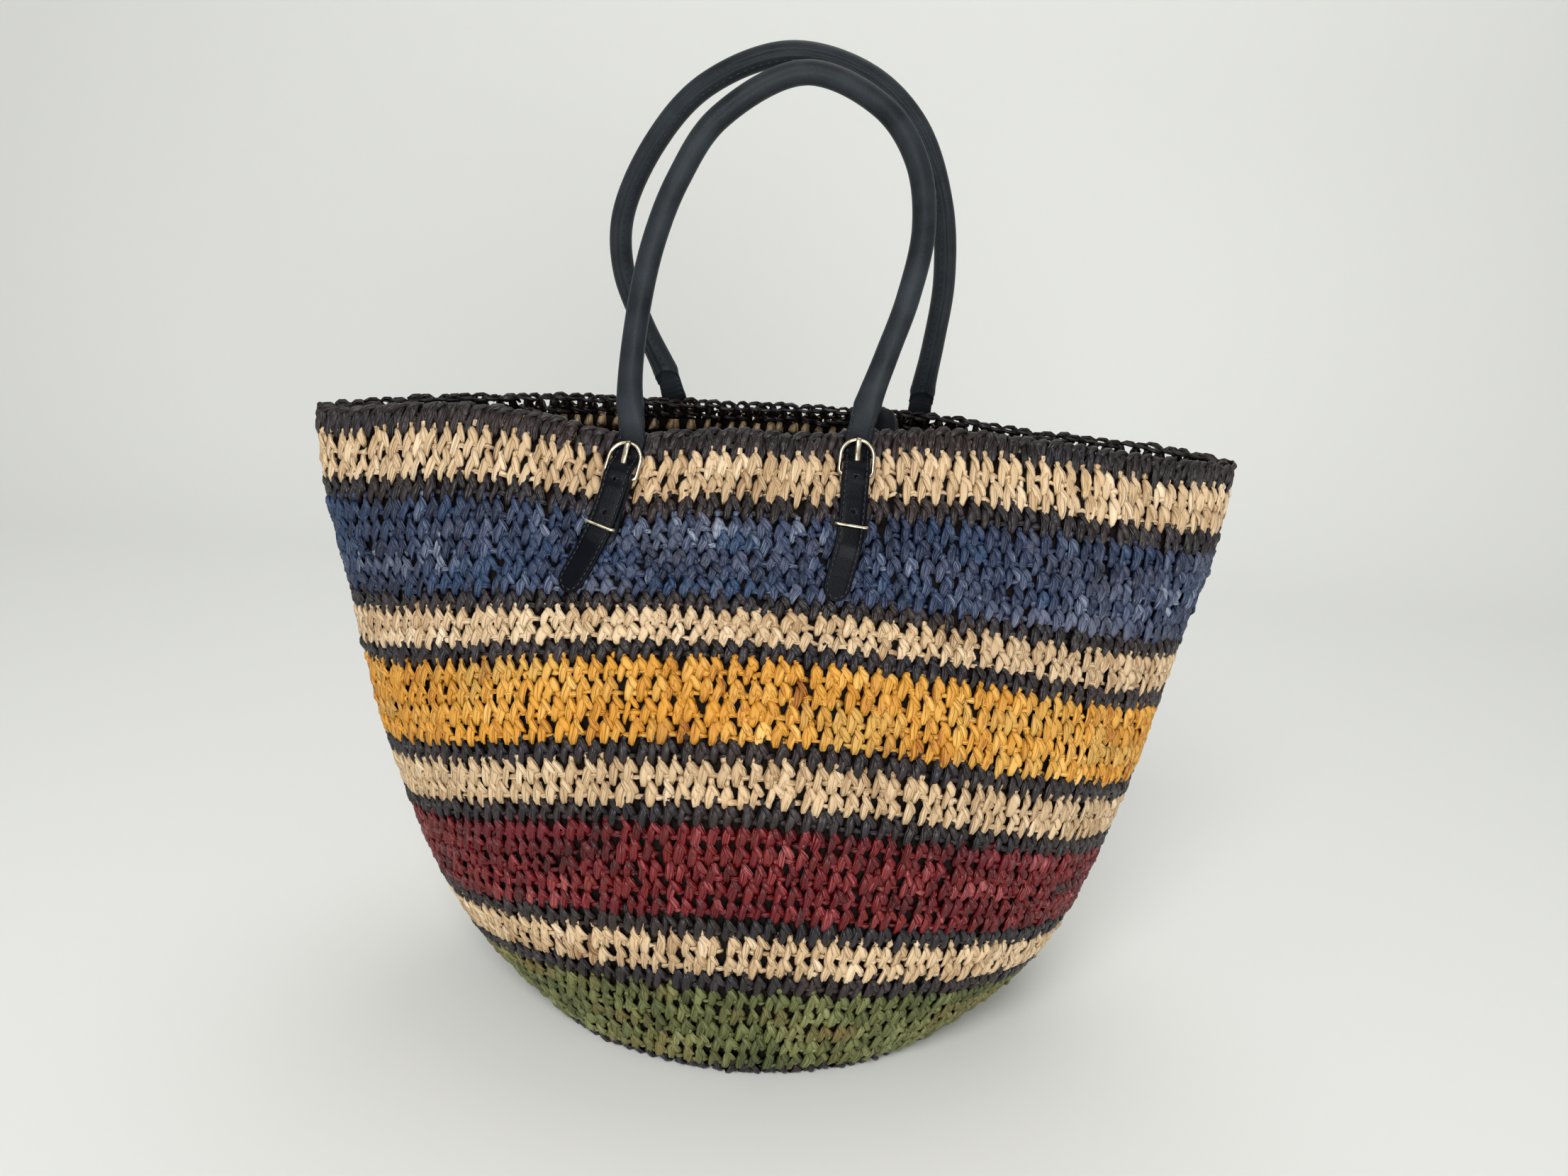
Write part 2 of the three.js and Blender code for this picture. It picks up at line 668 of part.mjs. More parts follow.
// The tab: a flat strip with a round lower end, folded round the bar, with a slot for the
// prong and a groove behind it for the keeper's wire.
function tab(line) {
  const half = strapWidth / 2;
  const ends = [
    { along: -tabDrop, half: 0.35 },
    { along: -tabDrop + 1.2, half: 0.72 },
    { along: -tabDrop + 3, half: 0.94 },
    { along: -tabDrop + 5, half: 1 },
    { along: -tabDrop / 2, half: 1 },
    { along: 0, half: 1 },
  ];
  const corners = [[-1, -1], [1, -1], [1, 1], [-1, 1]];
  const plate = loft(
    ends.map((row) =>
      corners.map(([w, t]) =>
        line.place(w * half * row.half, row.along, tabOff + (t * tabThickness) / 2),
      ),
    ),
  );
  const slot = prongWidth / 2 + clearance;
  const slotReach = rollRadius + clearance;
  const groove = keeperWire + clearance;
  return toGeometry(
    toSolid(plate)
      .add(toSolid(roll(line, loopRadius, half)))
      .subtract(barSpace(line, 2 * half))
      .subtract(toSolid(block(line, slot, -slotReach, 2 * slotReach, -clearance, 3 * barOff)))
      .subtract(
        toSolid(
          block(line, 2 * half, -keeperDrop - groove, -keeperDrop + groove, -1, keeperBack + groove),
        ),
      ),
  );
}

// The keeper: a wire ring round the strap and the tab, its back lying in the tab's groove.
const keeperBack = wallGap + keeperWire;

function keeper(line) {
  const half = strapWidth / 2 + clearance + keeperWire;
  const front = overTab + halfStrap + clearance + keeperWire;
  const corner = 1.1;
  const centres = [
    [half - corner, keeperBack + corner, -90],
    [half - corner, front - corner, 0],
    [-half + corner, front - corner, 90],
    [-half + corner, keeperBack + corner, 180],
  ];
  const flat = centres.flatMap(([x, y, start]) =>
    [0, 45, 90].map((turn) => {
      const angle = THREE.MathUtils.degToRad(start + turn);
      return new THREE.Vector2(x + corner * Math.cos(angle), y + corner * Math.sin(angle));
    }),
  );
  return wireLoop(flat, keeperWire, 6, (x, y, off) => line.place(x, -keeperDrop + off, y));
}

// A folded strip of leather standing up inside the mouth, against the front wall.
function innerTab() {
  const line = new WallLine({
    face: -1, across: 0.4, rise: 0.96, arch: 0, keeper: 0, tip: 0,
  });
  const rimAlong = line.up.findIndex((spot) => spot.point.z > bodyHeight) * line.step;
  const [low, high] = [rimAlong - innerTabHang, rimAlong + innerTabStand];
  const near = -wallThickness - clearance - 0.4;
  const far = near - 3 * innerTabLeather;
  const half = innerTabWidth / 2;
  const outer = toSolid(block(line, half, low, high, far, near));
  const inner = toSolid(
    block(
      line, 2 * half, low - 1, high - innerTabLeather, far + innerTabLeather, near - innerTabLeather,
    ),
  );
  return toGeometry(outer.subtract(inner));
}

const part = new THREE.Group();

function addPiece(name, colour, geometry) {
  const mesh = new THREE.Mesh(geometry, new THREE.MeshStandardMaterial(colours[colour]));
  mesh.name = name;
  part.add(mesh);
}

addPiece('base_disc', 'dark', baseDisc(rings[0].start));
rings.forEach(({ name, start, colour, steps }, i) => {
  const end = i + 1 < rings.length ? rings[i + 1].start : rimRound;
  addPiece(name, colour, ring(start, end, steps));
});

const lines = {};
for (const [name, place] of Object.entries(fastenings)) {
  lines[name] = new WallLine(place);
}
addPiece(
  'front_handle', 'leather',
  handle(lines.front_left, lines.front_right, frontArch, frontHandleRise, -1),
);
addPiece(
  'back_handle', 'leather',
  handle(lines.back_left, lines.back_right, backArch, backHandleRise, 1),
);
for (const [name, line] of Object.entries(lines)) {
  addPiece(`${name}_tab`, 'leather', tab(line));
  addPiece(`${name}_buckle`, 'metal', buckleFrame(line));
  addPiece(`${name}_prong`, 'metal', prong(line));
  addPiece(`${name}_keeper`, 'metal', keeper(line));
}
addPiece('inner_tab', 'leather', innerTab());

export default part;
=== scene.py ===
import math

import bpy
import numpy as np
from mathutils import Matrix, Vector


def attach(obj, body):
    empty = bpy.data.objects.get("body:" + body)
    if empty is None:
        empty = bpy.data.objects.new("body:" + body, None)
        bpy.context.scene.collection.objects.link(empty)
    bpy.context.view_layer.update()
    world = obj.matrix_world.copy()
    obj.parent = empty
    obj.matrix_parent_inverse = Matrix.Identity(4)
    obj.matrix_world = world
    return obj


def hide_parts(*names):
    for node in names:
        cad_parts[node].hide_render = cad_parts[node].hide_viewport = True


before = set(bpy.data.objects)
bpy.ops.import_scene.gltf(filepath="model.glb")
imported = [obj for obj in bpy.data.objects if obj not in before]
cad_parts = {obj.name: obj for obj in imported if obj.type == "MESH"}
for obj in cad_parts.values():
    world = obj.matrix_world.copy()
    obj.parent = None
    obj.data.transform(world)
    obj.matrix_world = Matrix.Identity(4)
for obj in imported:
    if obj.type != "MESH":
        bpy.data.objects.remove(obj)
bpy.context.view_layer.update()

# Body sizes, as in the solids
MOUTH_WIDTH = 0.368
BODY_HEIGHT = 0.262
BODY_DEPTH = 0.174
WALL = 0.0036
RIM_ROUND = 46
SIDE_POWER = 1.92
WAVE_START = 35

# Crochet sizes
PITCH = 0.0056  # from one stitch to the next in a round
CORE_OUT = -0.0016  # outer face of the core shell behind the stitches, off the wall; its dark colour is painted shade
CORE_IN = -0.0026
CORE_COLUMNS = 120
RIM_COVERED = 0.27  # share of the way round, each side of the front, that has cover strands
MM = 0.001

# Camera, as the photograph has it
IMAGE_WIDTH = 2212
FOCAL_PIXELS = 1700
CAMERA_PLACE = (0.007, -0.475, 0.360)
CAMERA_PITCH = math.radians(20)
CAMERA_ROLL = math.radians(3.6)

# Rounds of the body: widths as shares of half the mouth width, depths of half the body
# depth, rises of the body height, the shift of each round's middle, and its power.
ROUND_COLUMNS = ("round", "width", "depth", "middle_rise", "side_rise", "shift", "power")
ROUNDS = np.array(
    [
        (0, 0, 0, 0, 0, 0, 2),
        (10, 0.5, 0.828, 0, 0, 0.011, 2),
        (12, 0.584, 0.89, 0.053, 0.03, 0.016, 2),
        (16, 0.696, 0.931, 0.178, 0.106, 0.019, 2),
        (20, 0.774, 0.977, 0.317, 0.21, 0.014, 2),
        (25, 0.829, 1, 0.479, 0.332, 0.008, 2),
        (29, 0.875, 0.977, 0.605, 0.454, 0.003, 2),
        (33, 0.913, 0.885, 0.714, 0.573, 0, 1.9),
        (37, 0.943, 0.776, 0.794, 0.687, 0, 1.85),
        (42, 0.984, 0.615, 0.895, 0.828, 0, 1.75),
        (46, 1, 0.356, 1, 0.962, 0, 1.6),
    ]
)

# Waves and dents of the upper wall, as in the solids: face, place across, spread, rise and
# push outwards. The last three are the stitches' own, where the two rims nearly meet.
WAVES = (
    (-1, -0.31, 0.15, -0.024, 0.03),
    (-1, -0.7, 0.24, 0.015, 0),
    (-1, 0.04, 0.14, -0.008, 0.01),
    (-1, 0.4, 0.2, 0.013, -0.01),
    (1, -0.1, 0.42, -0.016, 0),
    (1, 0.55, 0.2, -0.008, 0.01),
    (-1, -0.76, 0.22, 0.01, 0),
    (-1, 0.66, 0.22, 0.01, 0),
    (1, 0.68, 0.22, -0.01, 0),
)

# The solids' rings with the round each starts at, and the raffia each is worked in.
RINGS = (
    ("base_disc", 0, "dark"),
    ("dark_line_1", 10, "dark"),
    ("green_band", 11, "green"),
    ("dark_line_2", 16, "dark"),
    ("natural_band_1", 17, "natural"),
    ("dark_line_3", 19, "dark"),
    ("red_band", 20, "red"),
    ("dark_line_4", 25, "dark"),
    ("natural_band_2", 26, "natural"),
    ("dark_line_5", 28, "dark"),
    ("yellow_band", 29, "yellow"),
    ("dark_line_6", 33, "dark"),
    ("natural_band_3", 34, "natural"),
    ("dark_line_7", 36, "dark"),
    ("blue_band", 37, "blue"),
    ("dark_line_8", 42, "dark"),
    ("natural_band_4", 43, "natural"),
    ("rim_round", 45, "dark"),
    ("rim_chain", 46, "dark"),
)
COLUMN_DRIFT = -0.3  # how far each round's stitches stand to the side of those below

# Raffia dyes, from the darkest strand to the lightest, and the two hues each one turns to.
DYES = {
    "natural": ((128, 94, 60), (180, 151, 113), (206, 181, 145), (231, 211, 181)),
    "dark": ((12, 8, 8), (26, 20, 20), (38, 31, 32), (62, 54, 56)),
    "blue": ((7, 11, 26), (26, 36, 60), (50, 63, 91), (158, 168, 184)),
    "yellow": ((122, 62, 6), (186, 126, 34), (210, 154, 60), (232, 188, 106)),
    "red": ((24, 0, 2), (74, 0, 5), (104, 4, 13), (190, 104, 104)),
    "green": ((32, 34, 12), (80, 84, 42), (108, 112, 64), (144, 146, 100)),
}
HUES = {
    "natural": ((210, 182, 142), (190, 164, 128)),
    "dark": ((28, 25, 32), (42, 31, 28)),
    "blue": ((33, 57, 88), (80, 86, 106)),
    "yellow": ((208, 146, 44), (196, 156, 78)),
    "red": ((90, 5, 24), (104, 20, 16)),
    "green": ((62, 74, 34), (110, 94, 48)),
}
GLOSS = {"natural": 0.46, "dark": 0.3, "blue": 0.33, "yellow": 0.42, "red": 0.28, "green": 0.42}
# Painted shade in a strand's folds: the colour the dye darkens to there.
FOLD_SHADES = {
    "natural": (0.58, 0.49, 0.4),
    "dark": (0.42, 0.34, 0.28),
    "blue": (0.36, 0.36, 0.4),
    "yellow": (0.5, 0.32, 0.16),
    "red": (0.4, 0.3, 0.3),
    "green": (0.42, 0.38, 0.26),
}


def smooth(xs, ys, places):
    """A smooth curve through a table's column, with no overshoot between its rows."""
    places = np.asarray(places, float)
    slopes = np.diff(ys) / np.diff(xs)
    inner = np.zeros(len(xs) - 2)
    same = slopes[:-1] * slopes[1:] > 0
    inner[same] = 2 * (slopes[:-1] * slopes[1:])[same] / (slopes[:-1] + slopes[1:])[same]
    tangents = np.concatenate([slopes[:1], inner, slopes[-1:]])
    held = np.clip(places, xs[0], xs[-1])
    i = np.clip(np.searchsorted(xs, held, side="right") - 1, 0, len(xs) - 2)
    step = (xs[1:] - xs[:-1])[i]
    t = (held - xs[i]) / step
    value = (
        ys[i] * (1 - t) ** 2 * (1 + 2 * t)
        + ys[i + 1] * t**2 * (3 - 2 * t)
        + step * tangents[i] * t * (1 - t) ** 2
        - step * tangents[i + 1] * t**2 * (1 - t)
    )
    past = np.where(places > xs[-1], tangents[-1], tangents[0])
    return value + past * (places - held)


def round_column(name, rounds):
    return smooth(ROUNDS[:, 0], ROUNDS[:, ROUND_COLUMNS.index(name)], rounds)


def round_point(rounds, face, across):
    """Points of the wall's outer face on the front (-1) or back (1), by share of width."""
    reach = np.clip(np.abs(across), 0, 1)
    power = round_column("power", rounds)
    middle = BODY_HEIGHT * round_column("middle_rise", rounds)
    side = BODY_HEIGHT * round_column("side_rise", rounds)
    width = MOUTH_WIDTH / 2 * round_column("width", rounds)
    depth = BODY_DEPTH / 2 * round_column("depth", rounds)
    x = MOUTH_WIDTH / 2 * round_column("shift", rounds) + width * across
    y = face * depth * (1 - reach**power) ** (1 / power)
    z = middle + (side - middle) * reach**SIDE_POWER
    rise = np.clip((rounds - WAVE_START) / (RIM_ROUND - WAVE_START), 0, 1)
    growth = rise**2 * (3 - 2 * rise)
    for wave_face, place, spread, lift, push in WAVES:
        strength = growth * (1 - reach**2) * np.exp(-(((across - place) / spread) ** 2))
        strength = np.where(face == wave_face, strength, 0)
        z = z + strength * lift * BODY_HEIGHT
        y = y + face * strength * push * BODY_DEPTH / 2
    return np.stack(np.broadcast_arrays(x, y, z), -1)


class Wall:
    """The body's outer face, read by round and by share of the way round it."""

    STEP = 0.25  # rounds between two rows of the grid
    COLUMNS = 720

    def __init__(self):
        self.rounds = np.arange(0.25, RIM_ROUND + 0.76, self.STEP)
        turns = np.linspace(0, 2 * np.pi, 4 * self.COLUMNS + 1) + np.pi / 2
        self.points = np.array([self.even_round(n, turns) for n in self.rounds])
        ahead = np.roll(self.points, -1, 1) - np.roll(self.points, 1, 1)
        up = np.gradient(self.points, axis=0)
        out = np.cross(ahead, up)
        self.out = out / np.linalg.norm(out, axis=2, keepdims=True)
        sides = np.linalg.norm(np.diff(self.points, axis=1), axis=2).sum(1)
        self.girth = sides * self.COLUMNS / (self.COLUMNS - 1)

    def even_round(self, n, turns):
        power = round_column("power", n)
        across = np.sign(np.cos(turns)) * np.abs(np.cos(turns)) ** (2 / power)
        face = np.where(np.sin(turns) < 0, -1, 1)
        points = round_point(n, face, across)
        lengths = np.linalg.norm(np.diff(points, axis=0), axis=1)
        along = np.concatenate([[0], np.cumsum(lengths)])
        even = np.arange(self.COLUMNS) / self.COLUMNS * along[-1]
        return np.stack([np.interp(even, along, points[:, k]) for k in range(3)], -1)

    def read(self, grid, rounds, shares):
        row = np.clip((rounds - self.rounds[0]) / self.STEP, 0, len(self.rounds) - 1.001)
        column = (shares % 1) * self.COLUMNS
        i = row.astype(int)
        j = column.astype(int) % self.COLUMNS
        k = (j + 1) % self.COLUMNS
        a = (row - i)[..., None]
        b = (column - np.floor(column))[..., None]
        low = grid[i, j] * (1 - b) + grid[i, k] * b
        high = grid[i + 1, j] * (1 - b) + grid[i + 1, k] * b
        return low * (1 - a) + high * a

    def place(self, rounds, shares, off):
        rounds, shares, off = np.broadcast_arrays(rounds, shares, off)
        outward = self.read(self.out, rounds, shares)
        return self.read(self.points, rounds, shares) + outward * off[..., None]

    def stitches(self, n):
        """How many stitches one round has."""
        girth = np.interp(n + 0.5, self.rounds, self.girth)
        full = np.interp(25, self.rounds, self.girth)
        count = (full if n >= 25 else girth) / PITCH
        return max(int(round(count)), 6)


def unit(vectors):
    return vectors / np.maximum(np.linalg.norm(vectors, axis=-1, keepdims=True), 1e-12)


class Bundle:
    """Collects many strands as arrays, to make one mesh of them."""

    def __init__(self):
        self.points = []
        self.faces = []
        self.uvs = []
        self.tones = []
        self.materials = []
        self.count = 0

    def add(self, points, groups, tones, material=0):
        """Adds closed shapes. Groups are pairs of faces, as point numbers, and their uvs."""
        volume = 0
        for faces, _ in groups:
            first = points[faces[:, 0]]
            for i in range(1, faces.shape[1] - 1):
                second, third = points[faces[:, i]], points[faces[:, i + 1]]
                volume += (first * np.cross(second, third)).sum()
        for faces, uvs in groups:
            if volume < 0:
                faces = faces[:, ::-1]
                uvs = uvs.reshape(len(faces), -1, 2)[:, ::-1]
            self.faces.append(faces + self.count)
            self.uvs.append(uvs.reshape(-1, 2))
            self.materials.append(np.full(len(faces), material))
        self.points.append(points)
        self.tones.append(np.broadcast_to(tones, (len(points), 3)))
        self.count += len(points)

    def add_strands(self, rings, tones, material=0, openness=1.0):
        """Strands as rings of section points: strand, station, side, xyz. Tones per strand.

        Openness, for each station and side, takes the place of the third tone, and the material paints
        shade on the deep points from it.
        """
        strands, stations, sides, _ = rings.shape
        size = stations * sides
        i, j = np.meshgrid(np.arange(stations - 1), np.arange(sides), indexing="ij")
        k = (j + 1) % sides
        quad = np.stack([i * sides + j, i * sides + k, (i + 1) * sides + k, (i + 1) * sides + j], -1)
        u = np.stack([j, j + 1, j + 1, j], -1) / sides
        v = np.stack([i, i, i + 1, i + 1], -1) / (stations - 1)
        quad_uv = np.stack([u, v], -1).reshape(-1, 4, 2)
        first = np.arange(sides)[None, ::-1]
        last = size - sides + np.arange(sides)[None]
        starts = (np.arange(strands) * size)[:, None, None]
        shift = np.random.default_rng(strands).random((strands, 1, 1, 2)) * (40, 40)
        flat = np.zeros((1, sides, 2))
        groups = [
            ((quad.reshape(-1, 4)[None] + starts).reshape(-1, 4), quad_uv[None] + shift),
            ((first + starts).reshape(-1, sides), flat + shift),
            ((last + starts).reshape(-1, sides), flat + 1 + shift),
        ]
        tones = np.repeat(tones, size, 0)
        tones[:, 2] = np.tile(np.broadcast_to(openness, (stations, sides)).reshape(-1), strands)
        self.add(rings.reshape(-1, 3), groups, tones, material)

    def add_grid(self, points, loop, tones=(0.5, 0.5, 0.5), material=0):
        """A tube through rings of points, closed into a ring or capped at both ends."""
        rows, sides, _ = points.shape
        i, j = np.meshgrid(np.arange(rows if loop else rows - 1), np.arange(sides), indexing="ij")
        i2, k = (i + 1) % rows, (j + 1) % sides
        quad = np.stack([i * sides + j, i * sides + k, i2 * sides + k, i2 * sides + j], -1)
        u = np.stack([j, j + 1, j + 1, j], -1) / sides
        v = np.stack([i, i, i + 1, i + 1], -1) / rows
        groups = [(quad.reshape(-1, 4), np.stack([u, v], -1))]
        if not loop:
            flat = np.zeros((1, sides, 2))
            groups.append((np.arange(sides)[None, ::-1], flat))
            groups.append((np.arange(sides)[None] + (rows - 1) * sides, flat + 1))
        self.add(points.reshape(-1, 3), groups, tones, material)

    def build(self, name, materials):
        mesh = bpy.data.meshes.new(name)
        points = np.concatenate(self.points)
        sizes = np.concatenate([np.full(len(f), f.shape[1]) for f in self.faces])
        corners = np.concatenate([f.reshape(-1) for f in self.faces])
        mesh.vertices.add(len(points))
        mesh.vertices.foreach_set("co", points.astype(np.float32).reshape(-1))
        mesh.loops.add(len(corners))
        mesh.loops.foreach_set("vertex_index", corners.astype(np.int32))
        mesh.polygons.add(len(sizes))
        starts = np.concatenate([[0], np.cumsum(sizes)[:-1]])
        mesh.polygons.foreach_set("loop_start", starts.astype(np.int32))
        mesh.polygons.foreach_set("material_index", np.concatenate(self.materials).astype(np.int32))
        mesh.polygons.foreach_set("use_smooth", np.full(len(sizes), True))
        layer = mesh.uv_layers.new(name="UVMap")
        layer.data.foreach_set("uv", np.concatenate(self.uvs).astype(np.float32).reshape(-1))
        tint = mesh.color_attributes.new("tone", "FLOAT_COLOR", "POINT")
        tones = np.concatenate(self.tones)
        tones = np.concatenate([tones, np.ones((len(tones), 1))], 1)
        tint.data.foreach_set("color", tones.astype(np.float32).reshape(-1))
        mesh.update()
        mesh.validate()
        for material in materials:
            mesh.materials.append(material)
        piece = bpy.data.objects.new(name, mesh)
        bpy.context.scene.collection.objects.link(piece)
        return piece


# One stitch is a leaf that narrows downwards, a petal that crosses over it to the right,
# the neck that the round above hooks round, and the bar between two necks. Stations: place
# along the round in pitches, place up in rounds (1 is the top of the stitch's own round),
# height off the wall, half width and half thickness in millimetres.
STRANDS = {
    "leaf": (
        (0.04, 0.86, -0.3, 1.2, 0.6),
        (0.0, 0.62, 0.5, 1.85, 0.95),
        (-0.07, 0.36, 0.8, 1.95, 1.1),
        (-0.15, 0.06, 0.85, 1.7, 1.1),
        (-0.21, -0.21, 0.2, 1.35, 0.9),
        (-0.24, -0.36, -1.1, 0.5, 0.35),
    ),
    "petal": (
        (-0.12, 1.0, 0.3, 0.9, 0.6),
        (0.05, 0.86, 1.05, 1.45, 0.85),
        (0.23, 0.64, 1.3, 1.75, 0.95),
        (0.38, 0.4, 0.6, 1.5, 0.85),
        (0.44, 0.2, -0.9, 0.7, 0.45),
    ),
    "neck": (
        (0.0, 0.92, 0.3, 1.2, 0.7),
        (0.0, 1.12, 0.85, 1.3, 0.7),
        (0.02, 1.3, -0.6, 1.2, 0.4),
    ),
    "bar": (
        (0.0, 0.14, -0.6, 1.0, 0.6),
        (0.42, 0.2, 0.6, 1.3, 0.8),
        (0.92, 0.14, -0.6, 1.0, 0.6),
    ),
    "inside": (
        (-0.1, 1.02, -2.7, 1.2, 0.5),
        (0.0, 0.5, -3.8, 2.1, 0.8),
        (0.12, -0.02, -2.7, 1.2, 0.5),
    ),
}
# The base, which lies on the ground, has only these.
BASE_STRANDS = {name: STRANDS[name] for name in ("leaf", "petal", "inside")}
# The last round stands more openly, under a chain of two arms and over an inner plait.
RIM_STRANDS = {
    "leaf": (
        (0.03, 0.88, -0.9, 0.9, 0.6),
        (0.01, 0.66, 0.2, 1.15, 0.8),
        (-0.06, 0.42, 0.7, 1.5, 0.95),
        (-0.15, 0.08, 0.85, 1.85, 1.0),
        (-0.21, -0.2, 0.3, 1.5, 0.85),
        (-0.24, -0.36, -1.1, 0.5, 0.35),
    ),
    "petal": (
        (-0.08, 0.92, -0.6, 0.8, 0.5),
        (0.03, 0.74, 0.7, 1.05, 0.7),
        (0.12, 0.5, 0.9, 1.25, 0.8),
        (0.2, 0.26, 0.5, 1.3, 0.75),
        (0.26, 0.08, -0.9, 0.7, 0.5),
    ),
    "bar": STRANDS["bar"],
    "cover": (
        (0.26, 0.02, -0.5, 1.0, 0.6),
        (0.4, 0.36, 0.85, 1.9, 0.95),
        (0.54, 0.68, 0.85, 1.85, 0.95),
        (0.64, 0.98, -0.3, 1.0, 0.6),
    ),
    "post": (
        (0.02, 0.95, -1.6, 0.9, 0.6),
        (-0.02, 0.5, -2.1, 1.2, 0.7),
        (-0.1, 0.02, -2.3, 1.4, 0.7),
    ),
}
CHAIN_STRANDS = {
    "front_arm": (
        (-0.34, 0.58, -0.5, 0.7, 0.5),
        (-0.05, 0.76, 0.6, 1.35, 0.85),
        (0.3, 0.92, 0.6, 1.55, 0.95),
        (0.7, 1.0, -0.3, 1.2, 0.8),
        (1.02, 0.97, -1.4, 0.7, 0.5),
    ),
    "back_arm": (
        (-0.18, 0.84, -1.5, 0.6, 0.5),
        (0.1, 0.92, -2.2, 1.0, 0.75),
        (0.5, 0.98, -2.7, 1.1, 0.8),
        (0.9, 0.98, -2.2, 1.0, 0.75),
        (1.22, 0.9, -1.4, 0.6, 0.5),
    ),
    "inner_plait": (
        (-0.35, 0.16, -1.8, 0.7, 0.5),
        (0.0, 0.26, -3.0, 1.2, 0.75),
        (0.45, 0.34, -3.1, 1.2, 0.75),
        (0.85, 0.36, -1.9, 0.7, 0.5),
    ),
}
# Section outlines: sideways and outwards, as shares of the half width and thickness.
CREASED = ((-1, -0.1), (-0.62, 0.8), (-0.1, 0.62), (0.5, 1.0), (1, -0.05), (0, -0.9))
FOLDED = ((-1, -0.1), (-0.4, 0.95), (0.5, 0.8), (1, -0.05), (0, -0.9))
PLAIN = ((-1, -0.1), (-0.3, 1), (0.7, 0.75), (0.5, -0.8))
FLAT = ((-1, 0), (0.3, 1), (1, -0.6))
SECTIONS = {
    "leaf": CREASED,
    "petal": FOLDED,
    "front_arm": FOLDED,
    "back_arm": FOLDED,
    "inner_plait": FOLDED,
    "cover": FOLDED,
    "inside": FLAT,
}
# Dark stitches show no crease, so their leaves are simpler.
DARK_SECTIONS = {**SECTIONS, "leaf": FOLDED}
# Strands of the inner face, which lie open towards the inside and get no painted shade.
INNER_STRANDS = ("inside", "back_arm", "inner_plait", "post")


def sweep(centres, outward, half_widths, half_thicknesses, outline, roll):
    """Rings of section points round strands: strand, station, side, xyz."""
    tangents = unit(np.gradient(centres, axis=1))
    across = unit(np.cross(tangents, outward))
    off = np.cross(across, tangents)
    c, s = np.cos(roll)[..., None], np.sin(roll)[..., None]
    across, off = across * c + off * s, off * c - across * s
    outline = np.array(outline)
    sideways = outline[:, 0][:, None] * half_widths[..., None, None]
    outwards = outline[:, 1][:, None] * half_thicknesses[..., None, None]
    return centres[:, :, None] + across[:, :, None] * sideways + off[:, :, None] * outwards


def strand_rings(wall, n, share, count, stations, outline, random, drift):
    """Rings for one strand of every stitch of a round."""
    u, v, off, half, thick = np.array(stations).T[:, None, :]
    total = len(share)
    jitter = random.normal(size=(total, 7))
    size = 1 + 0.12 * jitter[:, :1]
    u = u * (1 + 0.12 * jitter[:, 1:2]) + 0.06 * jitter[:, 2:3]
    v = v + 0.05 * jitter[:, 3:4] + drift[:, None]
    off = off * MM + 0.00025 * jitter[:, 4:5]
    wobble = random.normal(size=(total, u.shape[1]))
    rounds = n + v
    shares = share[:, None] + (u + 0.03 * wobble) / count
    centres = wall.place(rounds, shares, off)
    outward = wall.read(wall.out, rounds, shares)
    turn = np.linspace(-0.5, 0.5, u.shape[1])[None]
    roll = 0.22 * jitter[:, 5:6] + 0.55 * jitter[:, 6:7] * turn
    fit = min(1.0, np.interp(n + 0.5, wall.rounds, wall.girth) / count / PITCH)
    widths = half * MM * size * fit + np.zeros_like(v)
    thicknesses = thick * MM * size * fit + np.zeros_like(v)
    return sweep(centres, outward, widths, thicknesses, outline, roll)


def runs(random, count, length):
    """Smooth values between 0 and 1 round a closed round, each lasting some stitches."""
    knots = max(int(count / length), 3)
    values = random.random(knots)
    values = np.append(values, values[0])
    return np.interp(np.arange(count) / count * knots, np.arange(knots + 1), values)[:, None]


def stitch_tones(random, count):
    """The first tone says how light a stitch is dyed, the second how its hue turns."""
    tone = np.clip(0.45 * runs(random, count, 6) + 0.55 * random.beta(2.2, 2.2, (count, 1)), 0, 1)
    hue = np.clip(0.75 * runs(random, count, 5) + 0.25 * random.random((count, 1)), 0, 1)
    return np.concatenate([tone, hue, np.ones((count, 1))], 1)


def strand_openness(name, stations, outline):
    """How open each point of a strand lies, for the painted shade between the stitches: 0 deep between
    the stitches, 1 on top.
    """
    if name in INNER_STRANDS:
        return 1.0
    _, _, off, _, thick = np.array(stations).T
    heights = off[:, None] + np.array(outline)[None, :, 1] * thick[:, None]
    return np.clip((heights + 1.0) / 1.9, 0, 1)


def crochet_round(bundle, wall, n, random, strands, sections=SECTIONS):
    """Adds one round of stitches."""
    count = wall.stitches(n)
    share = (np.arange(count) + COLUMN_DRIFT * n) / count
    share = share + 0.1 * random.normal(size=count) / count
    drift = 0.1 * (runs(random, count, 4)[:, 0] - 0.5)
    stitch = stitch_tones(random, count)
    for name, stations in strands.items():
        outline = sections.get(name, PLAIN)
        rings = strand_rings(wall, n, share, count, stations, outline, random, drift)
        own = np.concatenate([random.random((count, 1)), stitch[:, 1:]], 1)
        tones = 0.72 * stitch + 0.28 * own
        if name == "cover":
            # The rim is worked more tightly on its front half.
            front = np.abs(share % 1 - 0.5) < RIM_COVERED
            rings, tones = rings[front], tones[front]
        bundle.add_strands(rings, tones, openness=strand_openness(name, stations, outline))


def core_shell(bundle, wall, low, high):
    """The core between the stitches, a thin closed ring that stands in for the inner strands; its dark
    colour is painted shade.
    """
    rounds = np.linspace(low, high, int(round(high - low)) + 1)
    shares = np.arange(CORE_COLUMNS) / CORE_COLUMNS
    outer = wall.place(rounds[None, :], shares[:, None], np.float64(CORE_OUT))
    inner = wall.place(rounds[None, ::-1], shares[:, None], np.float64(CORE_IN))
    bundle.add_grid(np.concatenate([outer, inner], 1), True, material=1)


